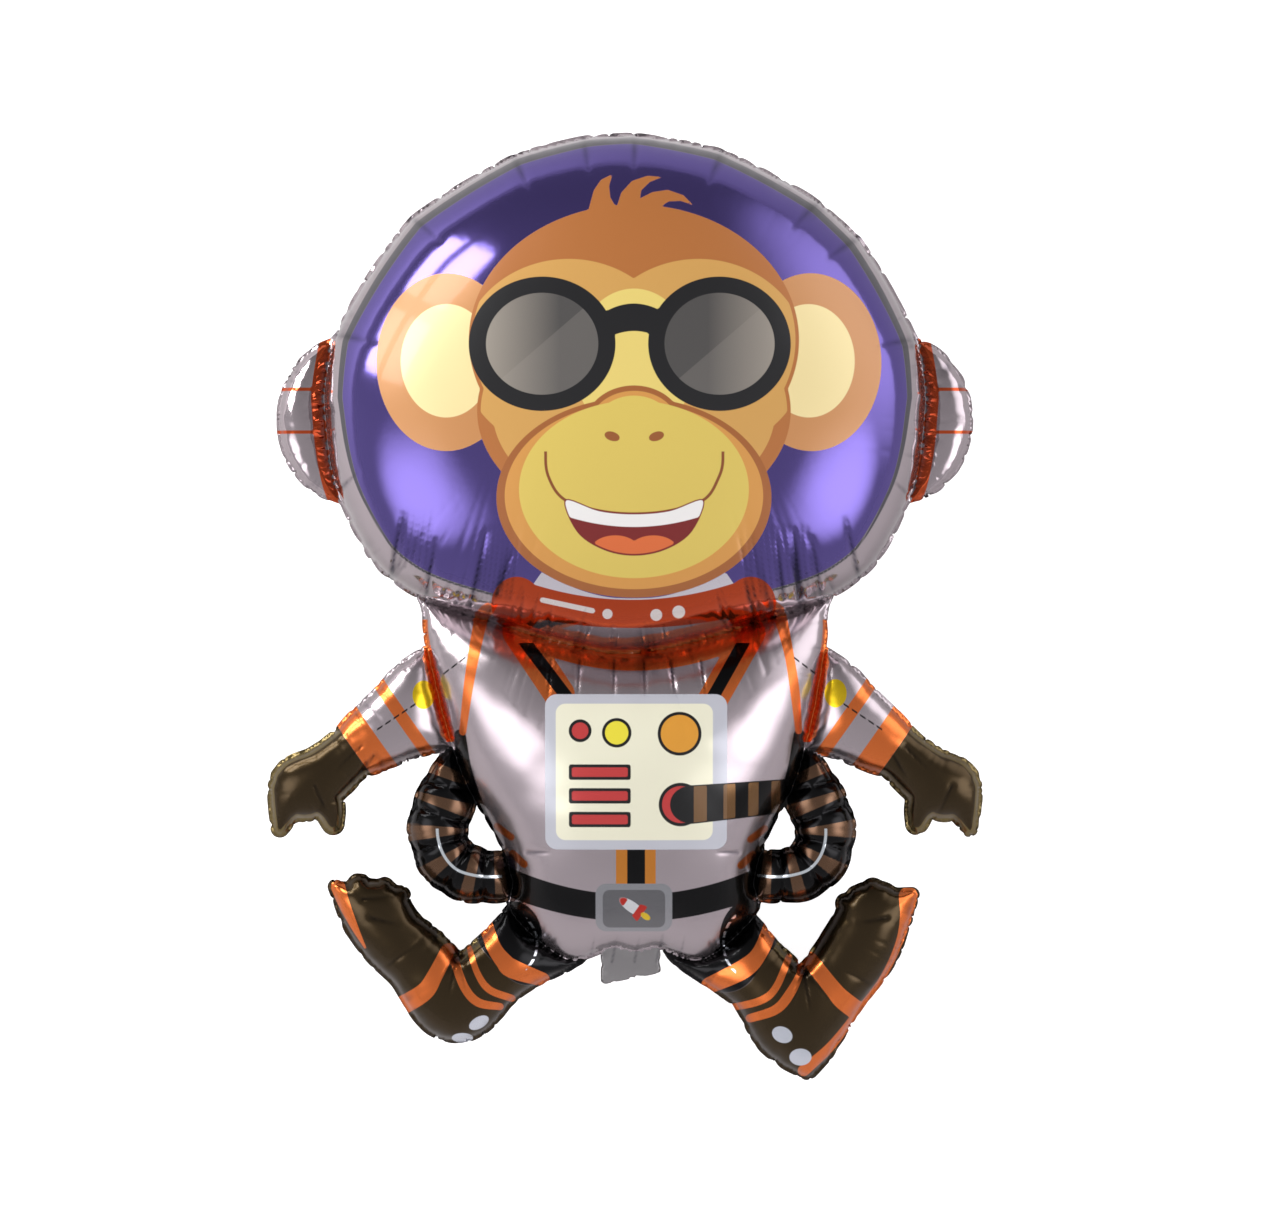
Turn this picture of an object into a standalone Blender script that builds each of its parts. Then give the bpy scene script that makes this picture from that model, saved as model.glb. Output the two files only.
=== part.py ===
# A foil balloon in the shape of a monkey in a space suit, lying on its back.
# The head balloon is a round helmet with two side pods. The body balloon is a torso with arms,
# hose loops, booted legs and a flat inflation tail. Both are pillows of foil: two printed sheets
# welded together along their outlines and along the lines between torso and limbs, then inflated.
# Metres, +Z up, +X to the right of the picture and +Y towards the top of the helmet.

import bpy
import numpy as np

# Driving sizes, in metres
FIGURE_HEIGHT = 0.800  # top of the helmet to the lower heel
HEAD_DEPTH = 0.270  # thickness of the inflated head balloon
TORSO_FULLNESS = 0.88  # depth of the torso against a full pressed-out membrane
LIMB_FULLNESS = 0.97  # the same for arms, hoses, legs and pods
WELD_THICKNESS = 0.0012  # the flat foil on a weld line
TAIL_WIDTH = 0.045  # the inflation tail
TAIL_LENGTH = 0.030  # of the tail, below the torso
TAIL_THICKNESS = 0.0016
NECK_GAP = 0.0005  # between the head's lower seam and the body's upper seam
NECK_STEP = 0.0015  # how far the body's middle sheet lies behind the head's at the neck
REST_SPOT = 0.002  # how deep the lowest places are pressed flat by the floor
BODY_SLOPE = 0.375  # fall of the body's middle sheet per metre below the neck
NECK_BEND = 0.040  # the length over which the neck seam bends into that slope

# Mesh sizes, in metres
HEAD_SPACING = 0.0185  # between points at the middle of the head balloon's mesh
HEAD_CROWDING = 1.05  # how much nearer its points stand towards the seam
BODY_SPACING = 0.0113
SEAM_RING = 0.0030  # from the seam to the first ring of points
PRESSURE_GRID = 0.0050  # grid on which the inflated height is worked out
LEAST_STEP = 0.08  # nearest that two points may be, as a share of the spacing
LEAST_AREA = 0.06  # smallest triangle on the outline, as a share of the squared spacing

CURVE_STEPS = 6  # steps between two points of an outline
LIMB_STEPS = 8  # steps between two stations of a limb
HELMET_STEPS = 72
POD_STEPS = 36

# The figure's own proportions are written in 800ths of its height, from its middle
UNIT = FIGURE_HEIGHT / 800

# Helmet: its upper half is close to half an ellipse
HELMET_CENTRE = (0.0, 177.0)
HELMET_HALF_WIDTH = 252.5
HELMET_TOP_RISE = 221.5
HELMET_SQUARENESS = 1.92  # power of the upper half's curve, 2 for an ellipse
DOME_POWER = 0.75  # under 1, the dome is flatter on top and steeper at its seam

# Right half of the helmet's seam below its widest place, from there to the middle of the collar
HELMET_LOWER = [
    (252.5, 177), (248, 130), (238, 91), (214, 44), (187, 19), (156, 4), (112, -9), (60, -25), (0, -36),
]

# Side pods: an oval that stands out of the helmet on each side
POD_CENTRE = (233.0, 159.0)
POD_HALF_WIDTH = 58.0
POD_HALF_HEIGHT = 68.0

# Right half of the torso's outline, from the shoulder to the crotch, and its lean to the right
TORSO_SIDE = [
    (150, 40), (168, -5), (160, -65), (148, -115), (136, -150), (114, -190),
    (101, -230), (102, -258), (58, -296), (20, -287), (0, -290),
]
TORSO_LEAN = 0.030

# Tail: where it leaves the torso, and its short right side as a share of its length
TAIL_MIDDLE = 5.0
TAIL_TOP = -286.0
TAIL_SHORT_SIDE = 0.7

# Limbs: stations of a middle line as x, y and half width. Arms and hoses are alike on both sides.
ARM = [
    (142, -70, 44), (165, -80, 40), (190, -95, 32), (213, -110, 27), (231, -122, 22), (254, -141, 24),
    (271, -151, 27),
]
FINGERS = [(277, -152, 23), (286, -168, 13), (292, -186, 5)]
THUMB = [(262, -152, 20), (251, -168, 12), (247, -182, 7)]
HOSE = [
    (144, -128, 12), (152, -146, 17), (157, -164, 22), (164, -184, 22), (161, -205, 21.5),
    (150, -220, 21.5), (133, -226, 20.5), (116, -227, 19), (100, -225, 15),
]
HOSE_BULGE = 0.09  # share of the width that swells between two pinched rings
HOSE_PITCH = 25.0  # length of one bulge
HOSE_PINCH = 0.6  # share of the bulge by which the rings between them draw in
LEG_LEFT = [
    (-62, -270, 38), (-97, -297, 30), (-118, -314, 29.5), (-145, -335, 32), (-173, -301, 29),
    (-197, -279, 27.5), (-211, -259, 28),
]
SOLE_TIP_LEFT = [(-222, -256, 19), (-245, -236, 4)]
LEG_RIGHT = [
    (68, -272, 38), (110, -309, 31), (124, -324, 31.5), (147, -356, 32.5), (176, -320, 30),
    (200, -286, 31), (211, -262, 29),
]
SOLE_TIP_RIGHT = [(222, -260, 20), (243, -243, 4)]
HEEL_TIP_RIGHT = [(150, -362, 31), (155, -391, 7.5)]
WELD_GAP = 2.4  # flat weld between two pockets
OUTER_WELD = 1.5  # flat weld that is left round the outline

# Flat boxes round the two balloons' outlines, as the lowest and highest corner
HEAD_BOX = ((-310, -60), (310, 420))
BODY_BOX = ((-330, -430), (330, 40))

FOIL_COLOUR = (0.62, 0.57, 0.60, 1.0)
FOIL_ROUGHNESS = 0.30
VISOR_COLOUR = (0.21, 0.15, 0.52, 1.0)
VISOR_ROUGHNESS = 0.28


def mirrored(stations):
    return [(-x, *rest) for x, *rest in stations]


def leaning(stations):
    """The stations drawn to the right by the torso's lean, more the lower they are."""
    return [(x - TORSO_LEAN * min(y, 0), y, *rest) for x, y, *rest in stations]


def smooth_curve(points, steps, closed=False):
    """Catmull-Rom curve through the points, with this many steps in each span."""
    p = np.array(points, float)
    if closed:
        p = np.vstack([p[-1], p, p[:2]])
    else:
        p = np.vstack([2 * p[0] - p[1], p, 2 * p[-1] - p[-2]])
    t = np.linspace(0, 1, steps, endpoint=False)[None, :, None]
    a, b, c, d = (p[k : len(p) - 3 + k, None, :] for k in range(4))
    cubic = (3 * b - a - 3 * c + d) * t**3
    curve = 0.5 * (2 * b + (c - a) * t + (2 * a - 5 * b + 4 * c - d) * t**2 + cubic)
    curve = curve.reshape(-1, p.shape[1])
    return curve if closed else np.vstack([curve, p[-2]])


def segment_distance(points, start, end):
    """Distance from every point to every segment, and how far along it the nearest place lies."""
    along = end - start
    length2 = np.maximum((along**2).sum(axis=1), 1e-12)
    offset = points[:, None, :] - start[None]
    t = np.clip((offset * along[None]).sum(axis=2) / length2, 0, 1)
    gap = offset - t[..., None] * along[None]
    return np.hypot(gap[..., 0], gap[..., 1]), t


def outline_field(outline):
    """Signed distance to a closed outline, negative inside."""
    start, end = outline, np.roll(outline, -1, axis=0)

    def field(points):
        distance, _ = segment_distance(points, start, end)
        x, y = points[:, :1], points[:, 1:]
        spans = (start[None, :, 1] > y) != (end[None, :, 1] > y)
        rise = np.where(end[:, 1] == start[:, 1], 1e-9, end[:, 1] - start[:, 1])
        crossing = start[:, 0] + (y - start[:, 1]) / rise * (end[:, 0] - start[:, 0])
        inside = (spans & (x < crossing)).sum(axis=1) % 2 == 1
        return np.where(inside, -1, 1) * distance.min(axis=1)

    return field


def limb_field(stations, bulge=0.0, pitch=1.0):
    """Signed distance to a limb whose half width follows its stations, with optional bulges."""
    line = smooth_curve(stations, LIMB_STEPS)
    run = np.concatenate([[0], np.cumsum(np.hypot(*np.diff(line[:, :2], axis=0).T))])
    width = line[:, 2] * (1 + bulge * (np.abs(np.sin(np.pi * run / pitch)) - HOSE_PINCH))

    def field(points):
        distance, t = segment_distance(points, line[:-1, :2], line[1:, :2])
        return (distance - width[:-1] * (1 - t) - width[1:] * t).min(axis=1)

    return field


def joined(*fields):
    return lambda points: np.min([field(points) for field in fields], axis=0)


def cut_by(field, other, gap):
    """The field without what lies nearer than the gap to the other one."""
    return lambda points: np.maximum(field(points), gap - other(points))


def helmet_outline():
    """Upper half an ellipse, lower half a smooth curve down to the collar."""
    angle = np.linspace(0, np.pi, HELMET_STEPS, endpoint=False)[1:]
    cx, cy = HELMET_CENTRE
    across = np.sign(np.cos(angle)) * np.abs(np.cos(angle)) ** (2 / HELMET_SQUARENESS)
    up = np.sin(angle) ** (2 / HELMET_SQUARENESS)
    top = np.column_stack([cx + HELMET_HALF_WIDTH * across, cy + HELMET_TOP_RISE * up])
    lower = HELMET_LOWER[:-1] + mirrored(HELMET_LOWER)[::-1]
    return np.vstack([top, smooth_curve(lower, CURVE_STEPS)[::-1]])


def pod_outline(side):
    angle = np.linspace(0, 2 * np.pi, POD_STEPS, endpoint=False)
    x = side * (POD_CENTRE[0] + POD_HALF_WIDTH * np.cos(angle))
    return np.column_stack([x, POD_CENTRE[1] + POD_HALF_HEIGHT * np.sin(angle)])


def torso_outline():
    both_sides = TORSO_SIDE + mirrored(TORSO_SIDE[:-1])[::-1]
    return smooth_curve(leaning(both_sides), CURVE_STEPS, closed=True)


def tail_outline():
    length = TAIL_LENGTH / UNIT
    left = TAIL_MIDDLE - 0.5 * TAIL_WIDTH / UNIT
    right = TAIL_MIDDLE + 0.5 * TAIL_WIDTH / UNIT
    lower_right = (right, TAIL_TOP - TAIL_SHORT_SIDE * length)
    return np.array([(left, TAIL_TOP), (right, TAIL_TOP), lower_right, (left, TAIL_TOP - length)])


def head_pockets():
    """Each pocket is its name, its signed distance and its fullness."""
    helmet = outline_field(helmet_outline())
    pockets = [("helmet", helmet, None)]
    for side, name in ((-1, "pod_left"), (1, "pod_right")):
        pod = cut_by(outline_field(pod_outline(side)), helmet, WELD_GAP)
        pockets.append((name, pod, LIMB_FULLNESS))
    return pockets


def body_pockets():
    helmet = outline_field(helmet_outline())
    neck_gap = NECK_GAP / UNIT + 2 * OUTER_WELD
    torso = cut_by(outline_field(torso_outline()), helmet, neck_gap)
    pockets = [("torso", torso, TORSO_FULLNESS)]
    for turn, side in ((mirrored, "left"), (list, "right")):
        arm = joined(limb_field(turn(ARM)), limb_field(turn(FINGERS)), limb_field(turn(THUMB)))
        arm = cut_by(cut_by(arm, torso, WELD_GAP), helmet, neck_gap)
        hose = limb_field(leaning(turn(HOSE)), HOSE_BULGE, HOSE_PITCH)
        hose = cut_by(cut_by(hose, torso, WELD_GAP), arm, WELD_GAP)
        pockets.append(("arm_" + side, arm, LIMB_FULLNESS))
        pockets.append(("hose_" + side, hose, LIMB_FULLNESS))
    legs = (
        ("leg_left", LEG_LEFT, SOLE_TIP_LEFT),
        ("leg_right", LEG_RIGHT, SOLE_TIP_RIGHT, HEEL_TIP_RIGHT),
    )
    for name, *shapes in legs:
        leg = joined(*(limb_field(shape) for shape in shapes))
        pockets.append((name, cut_by(leg, torso, WELD_GAP), LIMB_FULLNESS))
    tail = cut_by(outline_field(tail_outline()), torso, 0)
    pockets.append(("tail", tail, 0.0))
    return pockets


def triangle_lattice(low, high, spacing, crowding):
    """Points of a triangle lattice over a box, and the triangles between them. Crowding draws the
    points together towards the sides of the box, as the sine of an even spacing does."""
    low, high = np.array(low, float), np.array(high, float)
    centre = (low + high) / 2
    stretch = crowding / np.sin(crowding) if crowding else 1.0
    start = centre - stretch * (high - low) / 2
    columns, rows = (stretch * (high - low) / (spacing, 0.866 * spacing)).astype(int) + 2
    j, i = np.mgrid[0:rows, 0:columns]
    points = start + spacing * np.stack([i + 0.5 * (j % 2), 0.866 * j], axis=-1).reshape(-1, 2)
    if crowding:
        reach = (high - low) / 2 / np.sin(crowding)
        points = centre + reach * np.sin((points - centre) / reach)
    here = (j * columns + i)[:-1, :-1]
    right, up, corner = here + 1, here + columns, here + columns + 1
    odd = (j[:-1, :-1] % 2 == 1)[..., None]
    first = np.where(odd, np.stack([here, right, corner], -1), np.stack([here, right, up], -1))
    second = np.where(odd, np.stack([here, corner, up], -1), np.stack([right, corner, up], -1))
    return points, np.concatenate([first.reshape(-1, 3), second.reshape(-1, 3)])


def snapped(points, triangles, field, spacing, near=None):
    """The points, with the nearest ones moved onto the field's zero line."""
    value = field(points)
    ends = np.concatenate([triangles[:, [0, 1]], triangles[:, [1, 2]], triangles[:, [2, 0]]])
    crossing = ends[(value[ends[:, 0]] < 0) != (value[ends[:, 1]] < 0)]
    first, second = crossing.T
    moved = np.unique(np.where(np.abs(value[first]) <= np.abs(value[second]), first, second))
    if near is not None:
        moved = moved[np.abs(near(points[moved])) < spacing]
    points = points.copy()
    probe = 0.02 * spacing
    for _ in range(4):
        here = points[moved]
        slope_x = (field(here + (probe, 0)) - field(here - (probe, 0))) / (2 * probe)
        slope_y = (field(here + (0, probe)) - field(here - (0, probe))) / (2 * probe)
        slope = np.column_stack([slope_x, slope_y])
        steep = np.maximum((slope**2).sum(axis=1, keepdims=True), 0.2)
        points[moved] = here - field(here)[:, None] * slope / steep
    return points


def without_doubles(points, triangles, step):
    """Joins points that were moved onto nearly the same place."""
    _, first, same = np.unique(np.round(points / step), axis=0, return_index=True, return_inverse=True)
    triangles = first[same.reshape(-1)][triangles]
    a, b, c = triangles.T
    return triangles[(a != b) & (b != c) & (c != a)]


def outline_edges(triangles):
    """The edges that belong to one triangle only."""
    ends = np.concatenate([triangles[:, [0, 1]], triangles[:, [1, 2]], triangles[:, [2, 0]]])
    edges, count = np.unique(np.sort(ends, axis=1), axis=0, return_counts=True)
    return edges[count == 1]


def tidy_outline(points, triangles, spacing):
    """Leaves out slivers along the outline, and the triangles at points where two stretches of it meet."""
    while True:
        a, b, c = (points[triangles[:, k]] for k in range(3))
        area = 0.5 * np.abs(np.cross(b - a, c - a))
        edges = outline_edges(triangles)
        stretches = np.bincount(edges.ravel(), minlength=len(points))
        on_outline = (stretches[triangles] > 0).sum(axis=1) >= 2
        pinched = (stretches > 2)[triangles].any(axis=1)
        drop = pinched | (on_outline & (area < LEAST_AREA * spacing**2))
        if not drop.any():
            return triangles
        triangles = triangles[~drop]


def largest_piece(triangles, count):
    """The triangles that hang together with the most others."""
    label = np.arange(count)
    while True:
        low = label[triangles].min(axis=1)
        new = label.copy()
        np.minimum.at(new, triangles.ravel(), np.repeat(low, 3))
        if (new == label).all():
            break
        label = new
    owner = label[triangles[:, 0]]
    names, sizes = np.unique(owner, return_counts=True)
    return triangles[owner == names[sizes.argmax()]]


def pressure(inside, spacing):
    """Height squared over two of a stretched sheet under even pressure, held flat outside the mask."""
    load = inside * spacing**2
    height = np.zeros(inside.shape)
    rest = load.copy()
    step = rest.copy()
    size = first = (rest**2).sum()
    for _ in range(900):
        pull = 4 * step
        pull[1:] -= step[:-1]
        pull[:-1] -= step[1:]
        pull[:, 1:] -= step[:, :-1]
        pull[:, :-1] -= step[:, 1:]
        pull *= inside
        share = size / (step * pull).sum()
        height += share * step
        rest -= share * pull
        new = (rest**2).sum()
        if new < 1e-12 * first:
            break
        step = rest + new / size * step
        size = new
    return height


def sampled(grid, low, spacing, points):
    """Value of a grid at the points, blended between its four corners."""
    place = (points - low) / spacing
    cell = np.clip(place.astype(int), 0, np.array(grid.shape[::-1]) - 2)
    s, t = np.clip(place - cell, 0, 1).T
    i, j = cell.T
    lower = grid[j, i] * (1 - s) + grid[j, i + 1] * s
    upper = grid[j + 1, i] * (1 - s) + grid[j + 1, i + 1] * s
    return lower * (1 - t) + upper * t


def pocket_height(field, points):
    """How far one pocket stands off its middle sheet at the points inside it, for a fullness of 1."""
    spacing = PRESSURE_GRID / UNIT
    low = points.min(axis=0) - 2 * spacing
    high = points.max(axis=0) + 2 * spacing
    columns, rows = np.ceil((high - low) / spacing).astype(int) + 1
    y, x = np.mgrid[0:rows, 0:columns]
    nodes = low + spacing * np.column_stack([x.ravel(), y.ravel()])
    depth = -field(nodes).reshape(rows, columns)
    squared = 2 * pressure(depth > 0, spacing)
    # Near the seam the squared height grows in proportion to the distance from it.
    reach = 1.5 * spacing
    rate = np.where(depth > spacing, squared / np.maximum(depth, spacing), 0)
    weight = (depth > spacing).astype(float)
    turns = ((1, 0), (-1, 0), (1, 1), (-1, 1))
    for _ in range(3):
        spread = sum(np.roll(rate * weight, shift, axis) for shift, axis in turns)
        many = sum(np.roll(weight, shift, axis) for shift, axis in turns)
        rate = np.where(weight > 0, rate, spread / np.maximum(many, 1))
        weight = np.maximum(weight, many > 0)
    near = np.maximum(-field(points), 0)
    far = sampled(squared, low, spacing, points)
    close = near * sampled(rate, low, spacing, points)
    blend = np.clip((near - spacing) / (reach - spacing), 0, 1)
    return np.sqrt(np.maximum(close * (1 - blend) + far * blend, 0))


def heights(pockets, points):
    """Height of each point over the middle sheet, from the pocket that it lies in."""
    fields = np.array([field(points) for _, field, _ in pockets])
    owner = fields.argmin(axis=0)
    height = np.full(len(points), 0.5 * WELD_THICKNESS / UNIT)
    for index, (name, field, fullness) in enumerate(pockets):
        mine = (owner == index) & (fields[index] < 0)
        if not mine.any():
            continue
        if name == "tail":
            height[mine] = 0.5 * TAIL_THICKNESS / UNIT
            continue
        rise = pocket_height(field, points[mine])
        if name == "helmet":
            rise = 0.5 * HEAD_DEPTH / UNIT * (rise / rise.max()) ** DOME_POWER
        else:
            rise = fullness * rise
        height[mine] = np.maximum(rise, height[mine])
    return height


def head_middle(points):
    return np.full(len(points), (0.5 * HEAD_DEPTH - REST_SPOT) / UNIT)


def body_middle(points):
    """The body hangs on the neck seam and falls towards the boots, which reach the floor."""
    neck = head_middle(points) - NECK_STEP / UNIT
    below = np.maximum(HELMET_LOWER[-1][1] - points[:, 1], 0)
    return neck - BODY_SLOPE * below**2 / (below + NECK_BEND / UNIT)


def flat_pattern(pockets, low, high, spacing, crowding):
    """The balloon's flat outline as triangles, with points along its outline and weld lines."""
    fields = [field for _, field, _ in pockets]
    merged = lambda points: joined(*fields)(points) - OUTER_WELD
    points, triangles = triangle_lattice(low, high, spacing, crowding)
    spacing *= np.cos(crowding)
    value = merged(points)
    triangles = triangles[(value[triangles] < 1.5 * spacing).any(axis=1)]

    def weld(index):
        # Zero half way between one pocket and the nearest of those listed after it.
        def field(points):
            rest = np.min([other(points) for other in fields[index + 1 :]], axis=0)
            return (fields[index](points) - rest) / 2

        return field

    for index in range(len(fields) - 1):
        points = snapped(points, triangles, weld(index), spacing, fields[index])
    outside = merged(points) > 0
    points = snapped(points, triangles, merged, spacing)
    outside &= merged(points) > 0.01 * spacing
    triangles = triangles[~outside[triangles].any(axis=1)]
    triangles = without_doubles(points, triangles, LEAST_STEP * spacing)
    triangles = triangles[merged(points[triangles].mean(axis=1)) < 0]
    return points, largest_piece(tidy_outline(points, triangles, spacing), len(points))


def with_seam_ring(points, triangles, ring):
    """Adds a ring of points just inside the outline, where the foil rises steeply from the seam."""
    ends = np.concatenate([triangles[:, [0, 1]], triangles[:, [1, 2]], triangles[:, [2, 0]]])
    _, first, count = np.unique(np.sort(ends, axis=1), axis=0, return_index=True, return_counts=True)
    start, end = ends[first[count == 1]].T
    outline = np.unique(start)
    total = np.zeros((len(points), 3))
    centre = points[triangles].mean(axis=1)
    for corner in triangles.T:
        np.add.at(total, corner, np.column_stack([centre, np.ones(len(centre))]))
    inward = total[outline, :2] / total[outline, 2:] - points[outline]
    length = np.hypot(*inward.T)[:, None]
    inner = points[outline] + inward / length * np.minimum(ring, 0.4 * length)
    twin = np.arange(len(points))
    twin[outline] = len(points) + np.arange(len(outline))
    outer_half = np.column_stack([start, end, twin[end]])
    inner_half = np.column_stack([start, twin[end], twin[start]])
    return np.vstack([points, inner]), np.concatenate([twin[triangles], outer_half, inner_half])


def make_balloon(name, pockets, middle, box, spacing, crowding, material):
    """Both sheets over one flat pattern, sharing the points of the outline."""
    points, triangles = flat_pattern(pockets, *box, spacing / UNIT, crowding)
    used, index = np.unique(triangles, return_inverse=True)
    points, triangles = points[used], index.reshape(-1, 3)
    outline = np.unique(outline_edges(triangles))
    place, faces = with_seam_ring(points, triangles, SEAM_RING / UNIT)
    inside = np.ones(len(place), bool)
    inside[outline] = False

    height = np.where(inside, heights(pockets, place), 0)
    centre = middle(place)
    front = np.column_stack([place, np.maximum(centre + height, 0)])
    back = np.column_stack([place, np.maximum(centre - height, 0)])
    below = np.where(inside, np.cumsum(inside) - 1 + len(place), np.arange(len(place)))
    vertices = np.vstack([front, back[inside]]) * UNIT
    mesh = bpy.data.meshes.new(name)
    mesh.from_pydata(vertices.tolist(), [], np.vstack([faces, below[faces[:, ::-1]]]).tolist())
    mesh.materials.append(material)
    balloon = bpy.data.objects.new(name, mesh)
    bpy.context.scene.collection.objects.link(balloon)
    mesh.shade_smooth()
    return balloon


def foil_material(name, colour, roughness):
    material = bpy.data.materials.new(name)
    material.use_nodes = True
    shader = material.node_tree.nodes["Principled BSDF"]
    shader.inputs["Base Color"].default_value = colour
    shader.inputs["Metallic"].default_value = 0.8
    shader.inputs["Roughness"].default_value = roughness
    return material


def build():
    for old in list(bpy.data.objects):
        bpy.data.objects.remove(old, do_unlink=True)
    head_foil = foil_material("head_foil", VISOR_COLOUR, VISOR_ROUGHNESS)
    pockets = head_pockets()
    make_balloon("head_balloon", pockets, head_middle, HEAD_BOX, HEAD_SPACING, HEAD_CROWDING, head_foil)
    body_foil = foil_material("body_foil", FOIL_COLOUR, FOIL_ROUGHNESS)
    pockets = body_pockets()
    make_balloon("body_balloon", pockets, body_middle, BODY_BOX, BODY_SPACING, 0.0, body_foil)


build()
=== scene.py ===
import math

import bpy
import numpy as np
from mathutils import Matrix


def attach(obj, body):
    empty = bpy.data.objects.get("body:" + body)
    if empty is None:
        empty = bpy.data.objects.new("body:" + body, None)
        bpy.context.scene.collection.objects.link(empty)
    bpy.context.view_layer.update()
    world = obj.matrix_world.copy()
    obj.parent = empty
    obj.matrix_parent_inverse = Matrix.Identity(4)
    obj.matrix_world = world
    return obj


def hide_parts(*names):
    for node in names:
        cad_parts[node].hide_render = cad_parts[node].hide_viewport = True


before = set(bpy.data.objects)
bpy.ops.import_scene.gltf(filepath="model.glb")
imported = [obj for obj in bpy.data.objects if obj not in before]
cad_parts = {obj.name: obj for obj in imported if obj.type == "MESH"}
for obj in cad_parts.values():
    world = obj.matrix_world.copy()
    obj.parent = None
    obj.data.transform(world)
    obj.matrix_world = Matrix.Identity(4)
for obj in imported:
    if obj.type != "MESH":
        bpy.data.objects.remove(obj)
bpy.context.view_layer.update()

# A foil balloon in the shape of a monkey in a space suit, lying on its back and seen from above.
# Two envelopes of printed, metallised film: the head with its helmet, and the body with its limbs.
# Plan sizes are millimetres from the middle of the figure; the meshes are metres.

metre = 0.001
far = 30.0  # mm, a distance at which no ink is drawn


# Plan geometry: signed distances in mm, negative inside

def mirrored(stations):
    return [(-x, *rest) for x, *rest in stations]


# Catmull-Rom curve: each span is the cubic through its ends with slopes from the points beside them
def smoothCurve(points, steps, closed=False):
    p = np.array(points, float)
    if closed:
        p = np.vstack([p[-1], p, p[:2]])
    else:
        p = np.vstack([2 * p[0] - p[1], p, 2 * p[-1] - p[-2]])
    t = np.linspace(0, 1, steps, endpoint=False)[None, :, None]
    a, b, c, d = (p[k : len(p) - 3 + k, None, :] for k in range(4))
    cubic = (3 * b - a - 3 * c + d) * t**3
    curve = 0.5 * (2 * b + (c - a) * t + (2 * a - 5 * b + 4 * c - d) * t**2 + cubic)
    curve = curve.reshape(-1, p.shape[1])
    return curve if closed else np.vstack([curve, p[-2]])


# Distance to each straight side, and where its nearest place lies, from 0 at the start to 1 at the end
def segmentDistance(points, start, end):
    along = end - start
    length2 = np.maximum((along**2).sum(axis=1), 1e-12)
    offset = points[:, None, :] - start[None]
    t = np.clip((offset * along[None]).sum(axis=2) / length2, 0, 1)
    gap = offset - t[..., None] * along[None]
    return np.hypot(gap[..., 0], gap[..., 1]), t


# Distance to one straight line less half its width
def straightLine(points, x0, y0, x1, y1, half):
    distance, _ = segmentDistance(points, np.array([[x0, y0]], float), np.array([[x1, y1]], float))
    return distance[:, 0] - half


# A field is evaluated a few thousand points at a time, which keeps its arrays small
def chunked(field, size=5000):
    def whole(points):
        if not len(points):
            return np.zeros(0)
        return np.concatenate([field(points[k : k + size]) for k in range(0, len(points), size)])

    return whole


# Distance to the nearest side of a closed outline, with the sign from how many sides lie to the right
def outlineField(outline):
    start, end = outline, np.roll(outline, -1, axis=0)

    def field(points):
        distance, _ = segmentDistance(points, start, end)
        x, y = points[:, :1], points[:, 1:]
        spans = (start[None, :, 1] > y) != (end[None, :, 1] > y)
        rise = np.where(end[:, 1] == start[:, 1], 1e-9, end[:, 1] - start[:, 1])
        crossing = start[:, 0] + (y - start[:, 1]) / rise * (end[:, 0] - start[:, 0])
        inside = (spans & (x < crossing)).sum(axis=1) % 2 == 1
        return np.where(inside, -1, 1) * distance.min(axis=1)

    return chunked(field)


# How far along a line each of its points lies
def runOf(line):
    return np.concatenate([[0], np.cumsum(np.hypot(*np.diff(line[:, :2], axis=0).T))])


# Distance to a middle line less the half width there, which may swell in rings
def limbField(stations, bulge=0.0, pitch=1.0):
    line = smoothCurve(stations, 8)
    run = runOf(line)
    width = line[:, 2] * (1 + bulge * (np.abs(np.sin(np.pi * run / pitch)) - 0.6))

    def field(points):
        distance, t = segmentDistance(points, line[:-1, :2], line[1:, :2])
        return (distance - width[:-1] * (1 - t) - width[1:] * t).min(axis=1)

    return chunked(field)


# Between the four nearest nodes of a grid, in proportion to how near each is
def blended(grid, i, j, i1, j1, s, t):
    low = grid[j, i] * (1 - s) + grid[j, i1] * s
    high = grid[j1, i] * (1 - s) + grid[j1, i1] * s
    return low * (1 - t) + high * t


def sampled(grid, low, spacing, points):
    place = (points - low) / spacing
    cell = np.clip(place.astype(int), 0, np.array(grid.shape[::-1]) - 2)
    s, t = np.clip(place - cell, 0, 1).T
    i, j = cell.T
    return blended(grid, i, j, i + 1, j + 1, s, t)


def onGrid(field, low, spacing, columns, rows):
    y, x = np.mgrid[0:rows, 0:columns]
    return field(low + spacing * np.column_stack([x.ravel(), y.ravel()])).reshape(rows, columns)


# The field worked out once on a grid over a box, and read from there
def gridded(field, box, spacing=2.0, margin=12.0):
    low = np.array(box[0], float) - margin
    columns, rows = ((np.array(box[1]) + margin - low) / spacing).astype(int) + 2
    values = onGrid(field, low, spacing, columns, rows)
    return lambda points: sampled(values, low, spacing, points)


# Distance to a closed outline inside a box round it, and a far value elsewhere
def nearOnly(points, low, high, outline):
    near = ((points > low) & (points < high)).all(axis=1)
    values = np.full(len(points), far)
    values[near] = outlineField(outline)(points[near])
    return values


# How far along a middle line the place nearest to each point lies
def limbRun(stations, points):
    line = smoothCurve(stations, 8)[:, :2]
    run = runOf(line)
    distance, t = segmentDistance(points, line[:-1], line[1:])
    nearest = distance.argmin(axis=1)
    return run[nearest] + t[np.arange(len(points)), nearest] * np.diff(run)[nearest]


# Several shapes as one: the nearest of their distances
def joined(*fields):
    return lambda points: np.min([field(points) for field in fields], axis=0)


# One shape without what lies inside another or within a gap of it
def cutBy(field, other, gap):
    return lambda points: np.maximum(field(points), gap - other(points))


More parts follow.
